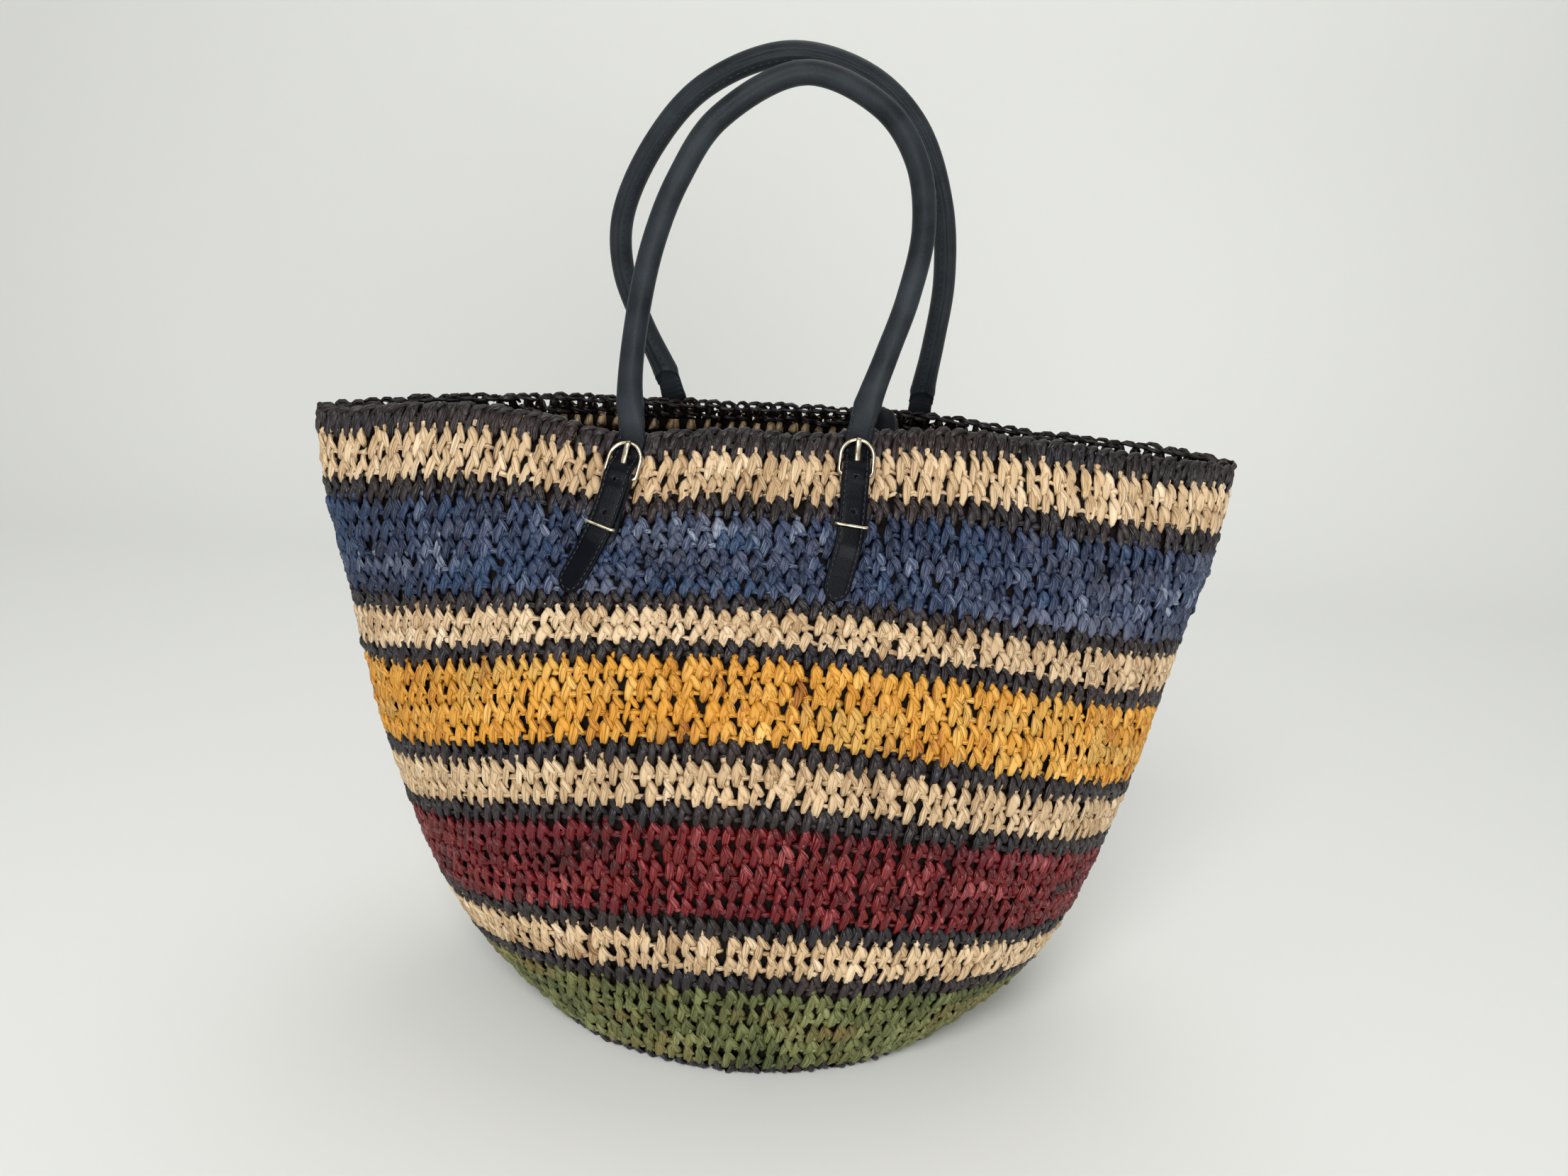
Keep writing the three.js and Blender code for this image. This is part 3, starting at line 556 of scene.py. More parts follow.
def make_band(wall, name, start, end, colour, materials):
    random = np.random.default_rng(start * 10 + 7)
    bundle = Bundle()
    if name == "rim_round":
        crochet_round(bundle, wall, start, random, RIM_STRANDS)
        core_shell(bundle, wall, start, start + 0.2)
    elif name == "rim_chain":
        crochet_round(bundle, wall, RIM_ROUND - 1, random, CHAIN_STRANDS)
    else:
        strands = BASE_STRANDS if name == "base_disc" else STRANDS
        sections = DARK_SECTIONS if colour == "dark" else SECTIONS
        for n in range(max(start, 1), end):
            crochet_round(bundle, wall, n, random, strands, sections)
        core_shell(bundle, wall, max(start, 0.3), end)
    # The bag's weight presses its lowest stitches flat.
    bundle.points = [np.maximum(p, (-1, -1, 0.0001 + 0.02 * p[0, 2])) for p in bundle.points]
    # The second material paints the shade between the stitches on the core shell.
    piece = bundle.build(f"crochet_{name}", [materials[colour], materials["ground"]])
    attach(piece, "root")
    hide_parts(name)
    return piece


def linear(colour):
    """A photographed colour, 0 to 255, as scene-linear light."""
    shares = [c / 255 for c in colour]
    return tuple(c / 12.92 if c <= 0.04045 else ((c + 0.055) / 1.055) ** 2.4 for c in shares)


class Nodes:
    """Short calls for building a material's nodes."""

    def __init__(self, name):
        self.material = bpy.data.materials.new(name)
        self.material.use_nodes = True
        self.tree = self.material.node_tree
        self.shader = self.tree.nodes["Principled BSDF"]

    def add(self, kind, **values):
        node = self.tree.nodes.new(kind)
        for key, value in values.items():
            if key in node.inputs:
                node.inputs[key].default_value = value
            else:
                setattr(node, key, value)
        return node

    def link(self, source, target):
        self.tree.links.new(source, target)

    def mix(self, factor, first, second, blend="MIX"):
        node = self.tree.nodes.new("ShaderNodeMix")
        node.data_type = "RGBA"
        node.blend_type = blend
        for socket, value in ((0, factor), (6, first), (7, second)):
            if isinstance(value, (int, float, tuple)):
                node.inputs[socket].default_value = value
            else:
                self.link(value, node.inputs[socket])
        return node.outputs[2]

    def math(self, operation, first, second=0.0):
        node = self.tree.nodes.new("ShaderNodeMath")
        node.operation = operation
        for socket, value in ((0, first), (1, second)):
            if isinstance(value, (int, float)):
                node.inputs[socket].default_value = value
            else:
                self.link(value, node.inputs[socket])
        return node.outputs[0]

    def ramp(self, source, stops):
        node = self.tree.nodes.new("ShaderNodeValToRGB")
        elements = node.color_ramp.elements
        while len(elements) < len(stops):
            elements.new(0.5)
        for element, (place, colour) in zip(elements, stops):
            element.position = place
            element.color = (*colour, 1)
        self.link(source, node.inputs[0])
        return node.outputs[0]


def raffia_material(colour):
    """Dyed raffia: a tone for each strand, lengthwise fibres and folds, painted shade in the folds and
    deep between the stitches, and a satin gloss.
    """
    made = Nodes(f"raffia_{colour}")
    tone = made.add("ShaderNodeVertexColor", layer_name="tone")
    parts = made.add("ShaderNodeSeparateColor")
    made.link(tone.outputs[0], parts.inputs[0])
    uv = made.add("ShaderNodeUVMap", uv_map="UVMap")

    def streaks(across, along, detail):
        stretch = made.add("ShaderNodeMapping")
        stretch.inputs["Scale"].default_value = (across, along, 1)
        made.link(uv.outputs[0], stretch.inputs[0])
        noise = made.add("ShaderNodeTexNoise", Scale=1.0, Detail=detail, Roughness=0.55)
        made.link(stretch.outputs[0], noise.inputs["Vector"])
        return noise.outputs[0]

    fibres = streaks(14, 0.9, 3.0)
    folds = streaks(2.6, 0.6, 1.0)
    near = made.math("ABSOLUTE", made.math("SUBTRACT", folds, 0.5))
    depth = made.math("ADD", made.math("MULTIPLY", streaks(1.1, 1.7, 0.0), 26.0), -1.0)
    fold = made.math("MINIMUM", made.math("MULTIPLY", near, depth), 1.0)
    fold = made.math("POWER", made.math("MAXIMUM", fold, 0.0), 0.6)
    streak = made.math("MULTIPLY", made.math("SUBTRACT", fibres, 0.5), 1.2)
    level = made.math("ADD", parts.outputs[0], streak)
    dyes = [linear(c) for c in DYES[colour]]
    base = made.ramp(level, list(zip((0.02, 0.34, 0.64, 1.0), dyes)))
    for hue, places in zip(HUES[colour], ((0.42, 0.15), (0.58, 0.85))):
        share = made.add("ShaderNodeMapRange")
        made.link(parts.outputs[1], share.inputs[0])
        for socket, value in enumerate((*places, 0.0, 0.8), 1):
            share.inputs[socket].default_value = value
        base = made.mix(share.outputs[0], base, (*linear(hue), 1))
    # Painted shade: the colour darkens along the folds.
    shade = made.ramp(fold, [(0.0, FOLD_SHADES[colour]), (0.4, (0.9, 0.86, 0.82)), (1.0, (1, 1, 1))])
    base = made.mix(1.0, base, shade, "MULTIPLY")
    # Painted shade: points that lie deep between the stitches are darkened.
    painted_depth_shade = made.ramp(parts.outputs[2], [(0.0, (0.3, 0.22, 0.16)), (0.75, (1, 1, 1))])
    base = made.mix(1.0, base, painted_depth_shade, "MULTIPLY")
    made.link(base, made.shader.inputs["Base Color"])
    made.shader.inputs["Specular IOR Level"].default_value = 0.4
    rough = made.math("ADD", made.math("MULTIPLY", fibres, 0.3), GLOSS[colour] - 0.12)
    made.link(rough, made.shader.inputs["Roughness"])
    height = made.math("ADD", fold, made.math("MULTIPLY", fibres, 1.1))
    bump = made.add("ShaderNodeBump", Strength=0.8, Distance=0.0005)
    made.link(height, bump.inputs["Height"])
    made.link(bump.outputs[0], made.shader.inputs["Normal"])
    return made.material


def ground_material():
    """Painted shade: the dark colour of the depth between the stitches."""
    made = Nodes("raffia_ground")
    place = made.add("ShaderNodeTexCoord")
    grain = made.add("ShaderNodeTexNoise", Scale=900.0, Detail=2.0)
    made.link(place.outputs["Object"], grain.inputs["Vector"])
    base = made.ramp(grain.outputs[0], [(0.3, linear((9, 6, 5))), (0.8, linear((30, 21, 16)))])
    made.link(base, made.shader.inputs["Base Color"])
    made.shader.inputs["Roughness"].default_value = 0.85
    made.shader.inputs["Specular IOR Level"].default_value = 0.15
    return made.material


def leather_material():
    """Smooth dark leather with a fine grain. Its tone pales the cut edges, and paints the straps darker
    and the tube lighter as painted shade and light.
    """
    made = Nodes("leather")
    place = made.add("ShaderNodeTexCoord")
    grain = made.add("ShaderNodeTexVoronoi", Scale=1600.0)
    made.link(place.outputs["Object"], grain.inputs["Vector"])
    cloud = made.add("ShaderNodeTexNoise", Scale=60.0, Detail=4.0)
    made.link(place.outputs["Object"], cloud.inputs["Vector"])
    base = made.ramp(cloud.outputs[0], [(0.3, linear((8, 11, 16))), (0.75, linear((17, 22, 29)))])
    tone = made.add("ShaderNodeVertexColor", layer_name="tone")
    # Painted shade and light from the tone: darker straps and a lighter tube; the paler cut edges are
    # the leather's own.
    cut_edge_and_painted_light = made.ramp(tone.outputs[0], [(0.0, (0.3, 0.3, 0.4)), (1.0, (4.8, 4.1, 3.1))])
    base = made.mix(1.0, base, cut_edge_and_painted_light, "MULTIPLY")
    made.link(base, made.shader.inputs["Base Color"])
    made.shader.inputs["Specular IOR Level"].default_value = 0.09
    rough = made.math("ADD", made.math("MULTIPLY", cloud.outputs[0], 0.2), 0.3)
    made.link(rough, made.shader.inputs["Roughness"])
    bump = made.add("ShaderNodeBump", Strength=0.2, Distance=0.0003)
    made.link(grain.outputs[0], bump.inputs["Height"])
    made.link(bump.outputs[0], made.shader.inputs["Normal"])
    return made.material


def thread_material():
    """Dark waxed sewing thread."""
    made = Nodes("thread")
    made.shader.inputs["Base Color"].default_value = (*linear((22, 26, 32)), 1)
    made.shader.inputs["Roughness"].default_value = 0.4
    return made.material


def metal_material():
    """Pale antique metal, a little worn."""
    made = Nodes("metal")
    place = made.add("ShaderNodeTexCoord")
    wear = made.add("ShaderNodeTexNoise", Scale=300.0, Detail=4.0)
    made.link(place.outputs["Object"], wear.inputs["Vector"])
    base = made.ramp(
        wear.outputs[0], [(0.3, linear((150, 138, 112))), (0.7, linear((214, 204, 180)))]
    )
    made.link(base, made.shader.inputs["Base Color"])
    rough = made.math("ADD", made.math("MULTIPLY", wear.outputs[0], 0.25), 0.12)
    made.link(rough, made.shader.inputs["Roughness"])
    made.shader.inputs["Metallic"].default_value = 1.0
    return made.material


# Straps, tabs and handles. Lengths from here to the camera are in millimetres, and become
# metres as their points are added to a bundle.
STRAP_DROP = 47.5
TIP_LENGTH = 6
FRAME_LENGTH = 13
KEEPER_DROP = 20
TAB_DROP = 26
WALL_GAP = 0.5
CLEARANCE = 0.3
FRAME_WIRE = 0.75
KEEPER_WIRE = 0.55
HALF_STRAP = 1.0  # half the strap's thickness
STRAP_REACH = 5.0  # half its width
TAB_REACH = 5.1  # half a tab's width
TAB_THICKNESS = 2.4
HOLE_RADIUS = 0.9
BAR_OFF = WALL_GAP + 1.0 + CLEARANCE + FRAME_WIRE
ARCH_OFF = BAR_OFF + 2.65
OVER_LOOP = BAR_OFF + FRAME_WIRE + CLEARANCE + 1.0 + CLEARANCE + HALF_STRAP
OVER_TAB = WALL_GAP + TAB_THICKNESS + CLEARANCE + HALF_STRAP
ON_WALL = WALL_GAP + HALF_STRAP
FLARE_OFF = WALL_GAP + 2.1
HANDLE_SPREAD = 105
FRONT_RISE = 124
BACK_RISE = 131
TOP_GAP = 8
FOOT_GAP = 31

# Where each strap is buckled, as in the solids: face, place across, rise, and how far
# sideways the strap lies at the arch, the keeper and the tip.
FASTENINGS = {
    "front_left": (-1, -0.533, 0.92, 0.06, -0.1, -0.36),
    "front_right": (-1, 0.291, 0.944, 0.01, -0.02, -0.12),
    "back_left": (1, -0.407, 0.935, -0.03, 0.04, 0.12),
    "back_right": (1, 0.554, 0.925, 0.02, -0.03, -0.16),
}
# How far sideways each tab lies from its strap at the tab's lower end.
TAB_SHIFTS = {"front_left": 2.4, "front_right": 2.0, "back_left": -1.5, "back_right": 1.8}

FRONT_ARCH = (
    (-0.524, 0.105),
    (-0.499, 0.35),
    (-0.455, 0.53),
    (-0.385, 0.69),
    (-0.26, 0.86),
    (0.03, 1),
    (0.3, 0.92),
    (0.43, 0.78),
    (0.472, 0.6),
    (0.437, 0.4),
    (0.378, 0.234),
    (0.325, 0.09),
)
BACK_ARCH = (
    (-0.455, 0.05),
    (-0.55, 0.21),
    (-0.622, 0.37),
    (-0.622, 0.53),
    (-0.5, 0.745),
    (-0.32, 0.905),
    (-0.03, 1),
    (0.25, 0.955),
    (0.44, 0.83),
    (0.56, 0.62),
    (0.602, 0.4),
    (0.59, 0.2),
    (0.572, 0.06),
)

# The strap's distance off the wall by height along it.
STRAP_OFF = np.array(
    [
        (-47.5, ON_WALL),
        (-41.5, ON_WALL + 0.3),
        (-32, ON_WALL + 1.3),
        (-26, OVER_TAB),
        (-10, OVER_TAB),
        (-6, OVER_TAB + 0.2),
        (-2.5, OVER_LOOP - 0.2),
        (0, OVER_LOOP),
        (2.5, OVER_LOOP - 0.5),
        (5.5, ON_WALL + 2),
        (8, ON_WALL + 0.75),
        (13, ON_WALL + 0.65),
    ]
)
# The handle's flat end: half width, half thickness and squareness by distance from it.
FLARE = np.array(
    [
        (0, 5.2, 1.6, 4),
        (5, 4.8, 1.9, 3.6),
        (9, 4.7, 2.5, 3),
        (12.5, 5.3, 3.3, 2.3),
        (16, 5.0, 3.8, 2.2),
        (26, 4.6, 4.3, 2),
        (40, 4.4, 4.4, 2),
    ]
)


class WallLine:
    """The line a strap takes down the wall, measured along it from the buckle's bar."""

    STEP = 0.5

    def __init__(self, face, across, rise, arch, keeper, tip):
        self.face = face
        self.bar_x = HANDLE_SPREAD * across
        self.shift_at = np.array([-STRAP_DROP, -KEEPER_DROP, 0, FRAME_LENGTH])
        self.shifts = np.array([tip, keeper, 0, arch]) * STRAP_DROP
        low, high = WAVE_START, RIM_ROUND
        for _ in range(24):
            middle = (low + high) / 2
            if self.surface(middle, self.bar_x)[2] < rise * BODY_HEIGHT / MM:
                low = middle
            else:
                high = middle
        self.bar_round = (low + high) / 2
        up = self.march(1, 3 * FRAME_LENGTH)
        down = self.march(-1, STRAP_DROP + TIP_LENGTH)
        spots = down[:0:-1] + up
        self.alongs = (np.arange(len(spots)) - len(down) + 1) * self.STEP
        places = np.array(spots)
        rounds, xs = places[:, 0], places[:, 1]
        self.points = self.surface(rounds, xs)
        along_x = self.surface(rounds, xs + 1) - self.surface(rounds, xs - 1)
        along_rounds = self.surface(rounds + 0.1, xs) - self.surface(rounds - 0.1, xs)
        self.outs = -self.face * unit(np.cross(along_x, along_rounds))

    def surface(self, rounds, x):
        width = MOUTH_WIDTH / 2 * round_column("width", rounds)
        shift = MOUTH_WIDTH / 2 * round_column("shift", rounds)
        return round_point(rounds, self.face, (x * MM - shift) / width) / MM

    def march(self, sign, reach):
        n, shift = self.bar_round, 0.0
        spots = [(n, self.bar_x)]
        for along in np.arange(self.STEP, reach + 0.01, self.STEP):
            next_shift = float(smooth(self.shift_at, self.shifts, sign * along))
            climb = math.sqrt(max(self.STEP**2 - (next_shift - shift) ** 2, 0))
            x = self.bar_x + next_shift
            rate = self.surface(np.array([n + 0.05, n - 0.05]), x)
            n += sign * climb * 0.1 / np.linalg.norm(rate[0] - rate[1])
            shift = next_shift
            spots.append((n, x))
        return spots

    def read(self, table, along):
        return np.stack([np.interp(along, self.alongs, table[:, k]) for k in range(3)], -1)

    def directions(self, along):
        """Directions up the line, across it and out of the wall."""
        along = np.asarray(along, float)
        run = self.read(self.points, along + 2) - self.read(self.points, along - 2)
        normal = unit(self.read(self.outs, along))
        across = unit(np.cross(run, normal))
        return np.cross(normal, across), across, normal

    def place(self, across, along, off):
        across, along, off = np.broadcast_arrays(*(np.asarray(a, float) for a in (across, along, off)))
        _, sideways, normal = self.directions(along)
        foot = self.read(self.points, along)
        return foot + sideways * across[..., None] + normal * off[..., None]


def strap_half(along):
    """Half the strap's width, which rounds off at its tip."""
    gone = np.clip((STRAP_DROP + along) / TIP_LENGTH, 0, 1)
    return STRAP_REACH * np.sqrt(np.clip(1 - (1 - gone) ** 2, 0, 1))


def arch_line(points):
    """A centripetal curve through points, as points a tenth of a millimetre apart."""
    points = np.vstack([2 * points[0] - points[1], points, 2 * points[-1] - points[-2]])
    path = []
    t = np.linspace(0, 1, 60, endpoint=False)[:, None]
    for p0, p1, p2, p3 in zip(points, points[1:], points[2:], points[3:]):
        d0, d1, d2 = (math.sqrt(np.linalg.norm(b - a)) for a, b in ((p0, p1), (p1, p2), (p2, p3)))
        m1 = ((p1 - p0) / d0 - (p2 - p0) / (d0 + d1) + (p2 - p1) / d1) * d1
        m2 = ((p2 - p1) / d1 - (p3 - p1) / (d1 + d2) + (p3 - p2) / d2) * d1
        path.append(
            p1 * (1 - t) ** 2 * (1 + 2 * t)
            + p2 * t**2 * (3 - 2 * t)
            + m1 * t * (1 - t) ** 2
            - m2 * t**2 * (1 - t)
        )
    return np.vstack([*path, points[-2:-1]])


def along_line(path, places):
    """Points of a path at distances along it."""
    steps = np.concatenate([[0], np.cumsum(np.linalg.norm(np.diff(path, axis=0), axis=1))])
    return np.stack([np.interp(places, steps, path[:, k]) for k in range(path.shape[1])], -1)


def line_length(path):
    return np.linalg.norm(np.diff(path, axis=0), axis=1).sum()


def wrinkles(places, random, low, high, count, depth):
    """Fine creases across a strip, as depths by place along it."""
    total = np.zeros(len(places))
    middles = np.linspace(low, high, count)
    for middle in middles + random.normal(size=count) * (high - low) / count / 3:
        total += depth * random.uniform(0.5, 1.2) * np.exp(-(((places - middle) / 0.32) ** 2))
    return total


def handle_frames(left, right, arch, rise, face):
    """The handle's sections from one strap's tip to the other's."""
    tip = -STRAP_DROP + TIP_LENGTH * (1 - np.cos(np.linspace(0.12, math.pi / 2, 9)))
    alongs = np.concatenate([tip, np.arange(-STRAP_DROP + TIP_LENGTH + 0.8, FRAME_LENGTH, 0.8)])
    parts = {key: [] for key in ("centre", "across", "out", "half", "thick", "power", "along")}

    def strap(line, order, sign):
        places = alongs[::order]
        _, across, out = line.directions(places)
        off = smooth(STRAP_OFF[:, 0], STRAP_OFF[:, 1], places)
        parts["centre"].append(line.place(0, places, off))
        parts["across"].append(across * sign)
        parts["out"].append(out)
        parts["half"].append(strap_half(places))
        parts["thick"].append(np.full(len(places), HALF_STRAP))
        parts["power"].append(np.full(len(places), 6.0))
        parts["along"].append(places)

    strap(left, 1, 1)
    table = np.array(arch)
    middle = np.stack(
        [
            HANDLE_SPREAD * table[:, 0],
            face * (FOOT_GAP + (TOP_GAP - FOOT_GAP) * table[:, 1]),
            BODY_HEIGHT / MM + rise * table[:, 1],
        ],
        -1,
    )
    foot = FRAME_LENGTH + 2
    ends = [line.place(0, foot, FLARE_OFF)[None] for line in (left, right)]
    path = arch_line(np.vstack([ends[0], middle, ends[1]]))
    length = line_length(path)
    near = np.concatenate([np.arange(0, 32, 0.7), np.arange(32, length / 2, 2.0)])
    places = np.concatenate([near, (length - near)[::-1]])
    centre = along_line(path, places)
    tangent = unit(along_line(path, places + 0.8) - along_line(path, places - 0.8))
    start = np.minimum(places, length - places)
    lean = math.atan2(FOOT_GAP - TOP_GAP, FRONT_RISE)
    plane = np.array([0, face * math.cos(lean), math.sin(lean)])
    end_outs = np.where(
        (places < length / 2)[:, None],
        left.directions(FRAME_LENGTH)[2],
        right.directions(FRAME_LENGTH)[2],
    )
    t = np.clip(start / 30, 0, 1)
    blend = (t * t * (3 - 2 * t))[:, None]
    guide = end_outs * (1 - blend) + plane * blend
    across = unit(np.cross(tangent, guide))
    parts["centre"].append(centre)
    parts["across"].append(across)
    parts["out"].append(np.cross(across, tangent))
    held = np.minimum(start, 40)
    for key, column in (("half", 1), ("thick", 2), ("power", 3)):
        parts[key].append(smooth(FLARE[:, 0], FLARE[:, column], held))
    parts["along"].append(FRAME_LENGTH + 2 + start)
    strap(right, -1, -1)
    joined = {key: np.concatenate(values) for key, values in parts.items()}
    joined["side"] = np.concatenate(
        [np.full(len(alongs), -1.0), np.where(places < length / 2, -1.0, 1.0), np.ones(len(alongs))]
    )
    return joined


HANDLE_SIDES = 40
# Fine creases across the strap: from and to, how many, and how deep.
CREASES = ((14.5, 21, 8, 0.2), (-19, -7, 12, 0.1), (-38, -21, 9, 0.05))


def handle_points(frames, face, random):
    """Rings of points: a padded strap with creases, and a rolled tube with its seam."""
    along = frames["along"]
    turn = (np.arange(HANDLE_SIDES) + 0.5) / HANDLE_SIDES * 2 * math.pi
    c, s = np.cos(turn)[None], np.sin(turn)[None]
    squareness = np.clip((frames["power"] - 2) / 2, 0, 1)[:, None]
    w = np.sign(c) * np.abs(c) ** (1 - 0.3 * squareness)
    power = frames["power"][:, None]
    t = np.sign(s) * np.clip(1 - np.abs(w) ** power, 0, 1) ** (1 / power)
    x = w * frames["half"][:, None]
    y = t * frames["thick"][:, None]
    top = (s > 0) & (np.abs(w) < 0.97)
    strap = np.clip((22 - along) / 4, 0, 1)[:, None]
    dent = -0.2 * np.exp(-(((np.abs(w) - 0.74) / 0.07) ** 2)) + 0.12 * (1 - w**2)
    y = y + np.where(top, strap * dent, 0)
    creases = np.zeros(len(along))
    for side in (-1, 1):
        mine = frames["side"] == side
        for crease in CREASES:
            creases[mine] += wrinkles(along[mine], random, *crease)
    y = y - np.where(top, creases[:, None] * (1 - np.abs(w) ** 3), 0)
    # Distance from the flat end, and the angle from the side that faces the other handle.
    start = (along - FRAME_LENGTH - 2)[:, None]
    angle = np.arctan2(w, -t)
    lip = 13.5 - 5.5 * (angle / 1.3) ** 2
    inside = np.clip((lip - start) / 0.7, 0, 1) * (np.abs(angle) < 1.5) * (start > 0)
    depth = np.interp(start[:, 0], [0, 4, 13, 14], [0, 0.5, 2.3, 2.3])[:, None]
    folds = 0.3 * np.sin(start * 3.1 + 2 * w) + 0.2 * np.sin(start * 5.7 - 3 * w + 1)
    y = y + inside * (depth * np.cos(np.clip(angle, -1.5, 1.5)) ** 0.7 + folds * 0.6)
    seam = 0.25 * face
    drift = seam + 0.05 * np.sin(along / 17 + face)[:, None] + 0.03 * np.sin(along / 5.3)[:, None]
    gap = angle - drift
    ridge = -0.95 * np.exp(-((gap / 0.1) ** 2)) + 0.32 * np.exp(-(((np.abs(gap) - 0.27) / 0.1) ** 2))
    reach = np.maximum(np.hypot(x, y), 0.5)
    edge = 0.55 * np.exp(-(((start - lip - 0.5) / 0.7) ** 2)) * (np.abs(angle) < 1.5)
    swell = 1 + (edge + ridge * (1 - inside) * (start > 9)) / reach
    x, y = x * swell, y * swell
    points = frames["centre"][:, None] + frames["across"][:, None] * x[..., None]
    return points + frames["out"][:, None] * y[..., None]


THREAD_OUTLINE = ((-1, 0), (0, 1), (1, 0), (0, -1))


def sew(bundle, path, normals, pitch=2.3, length=1.6, radius=0.27, material=1):
    """A row of stitches along a path, in millimetres."""
    total = line_length(path)
    count = int(total / pitch)
    if count < 1:
        return
    middles = (np.arange(count) + 0.5) * total / count
    reach = np.array([-0.5, -0.3, 0, 0.3, 0.5]) * length
    lift = np.array([-0.22, 0.1, 0.16, 0.1, -0.22])
    places = middles[:, None] + reach[None]
    steps = np.concatenate([[0], np.cumsum(np.linalg.norm(np.diff(path, axis=0), axis=1))])
    centres = np.stack([np.interp(places, steps, path[:, k]) for k in range(3)], -1)
    outward = np.stack([np.interp(places, steps, normals[:, k]) for k in range(3)], -1)
    outward = unit(outward)
    centres = centres + outward * lift[None, :, None]
    size = np.array([0.6, 1, 1, 1, 0.6]) * radius + np.zeros_like(places)
    rings = sweep(centres, outward, size, size, THREAD_OUTLINE, np.zeros_like(places))
    bundle.add_strands(rings * MM, np.full((count, 3), 0.5), material)


def strap_seams(bundle, line):
    """The strap's edge stitching: down one side, round the tip and up the other."""
    inset = 1.25
    straight = np.arange(FRAME_LENGTH, -STRAP_DROP + TIP_LENGTH, -0.5)
    half = STRAP_REACH - inset
    turn = np.linspace(0, math.pi, 17)[1:-1]
    across = np.concatenate([np.full(len(straight), -half), -half * np.cos(turn)])
    across = np.concatenate([across, np.full(len(straight), half)])
    low = -STRAP_DROP + TIP_LENGTH
    along = np.concatenate([straight, low - (TIP_LENGTH - inset) * np.sin(turn), straight[::-1]])
    off = smooth(STRAP_OFF[:, 0], STRAP_OFF[:, 1], along) + HALF_STRAP - 0.08
    sew(bundle, line.place(across, along, off), line.directions(along)[2])


def flare_seams(bundle, frames, side):
    """Stitching along both edges of the handle's flat end."""
    start = frames["along"] - FRAME_LENGTH - 2
    mine = (frames["side"] == side) & (start >= 0) & (start < 9.5)
    for sign in (-1, 1):
        w = 0.8 * sign
        power = frames["power"][mine]
        t = (1 - abs(w) ** power) ** (1 / power)
        out = frames["out"][mine]
        path = frames["centre"][mine] + frames["across"][mine] * (w * frames["half"][mine])[:, None]
        path = path + out * (t * frames["thick"][mine] - 0.05)[:, None]
        sew(bundle, path, unit(out + 0.6 * sign * frames["across"][mine]))


def tube_seam(bundle, frames, face):
    """The row of stitches beside the tube's seam."""
    start = frames["along"] - FRAME_LENGTH - 2
    mine = start > 15
    drift = 0.25 * face + 0.05 * np.sin(frames["along"][mine] / 17 + face)
    angle = drift - 0.62 * face
    normal = (
        frames["across"][mine] * np.sin(angle)[:, None] - frames["out"][mine] * np.cos(angle)[:, None]
    )
    reach = np.hypot(
        frames["half"][mine] * np.sin(angle), frames["thick"][mine] * np.cos(angle)
    )
    path = frames["centre"][mine] + normal * (reach - 0.02)[:, None]
    sew(bundle, path, normal, pitch=3.0, length=1.9, radius=0.2)


def cylinder(line, along, radius, low, high, sides=24):
    """A round bar through the strap, to punch a hole with."""
    turn = np.arange(sides) / sides * 2 * math.pi
    circle = [
        line.place(radius * np.cos(turn), along + radius * np.sin(turn), off) for off in (low, high)
    ]
    return np.array(circle)


def cut(piece, tool):
    """Takes one closed piece out of another."""
    modifier = piece.modifiers.new("cut", "BOOLEAN")
    modifier.operation = "DIFFERENCE"
    modifier.solver = "EXACT"
    modifier.object = tool
    graph = bpy.context.evaluated_depsgraph_get()
    mesh = bpy.data.meshes.new_from_object(piece.evaluated_get(graph))
    piece.modifiers.clear()
    piece.data = mesh
    bpy.data.objects.remove(tool)


def place_piece(piece, node):
    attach(piece, "root")
    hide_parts(node)


def make_handle(name, left, right, arch, rise, face, leather):
    random = np.random.default_rng(40 + face)
    frames = handle_frames(left, right, arch, rise, face)
    body = Bundle()
    # Painted shade and light: the straps are painted darker than the tube, though both are the same
    # leather.
    tones = np.clip((frames["along"] - FRAME_LENGTH) / 10, 0, 1)
    tones = np.repeat(tones, HANDLE_SIDES)[:, None] + np.zeros(3)
    body.add_grid(handle_points(frames, face, random) * MM, False, tones)
    piece = body.build(f"leather_{name}", leather)
    tool = Bundle()
    for line in (left, right):
        for along in (-2.5, -15):
            tool.add_grid(cylinder(line, along, HOLE_RADIUS, OVER_TAB - 0.4, OVER_LOOP + 3) * MM, False)
        slot = [
            [line.place(x, y, z) for x, y in ((-1.35, 4.6), (1.35, 4.6), (1.35, 8.2), (-1.35, 8.2))]
            for z in (0.2, 6.5)
        ]
        tool.add_grid(np.array(slot) * MM, False)
    cut(piece, tool.build("punches", leather[:1]))
    place_piece(piece, name)
    seams = Bundle()
    for line in (left, right):
        strap_seams(seams, line)
    for side in (-1, 1):
        flare_seams(seams, frames, side)
    tube_seam(seams, frames, face)
    threads = seams.build(f"threads_{name}", leather)
    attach(threads, "root")


def tab_shift(name, rows):
    """How far sideways a tab lies from its strap at places along it."""
    return TAB_SHIFTS[name] * np.clip((-rows - 8) / 18, 0, 1) ** 1.5


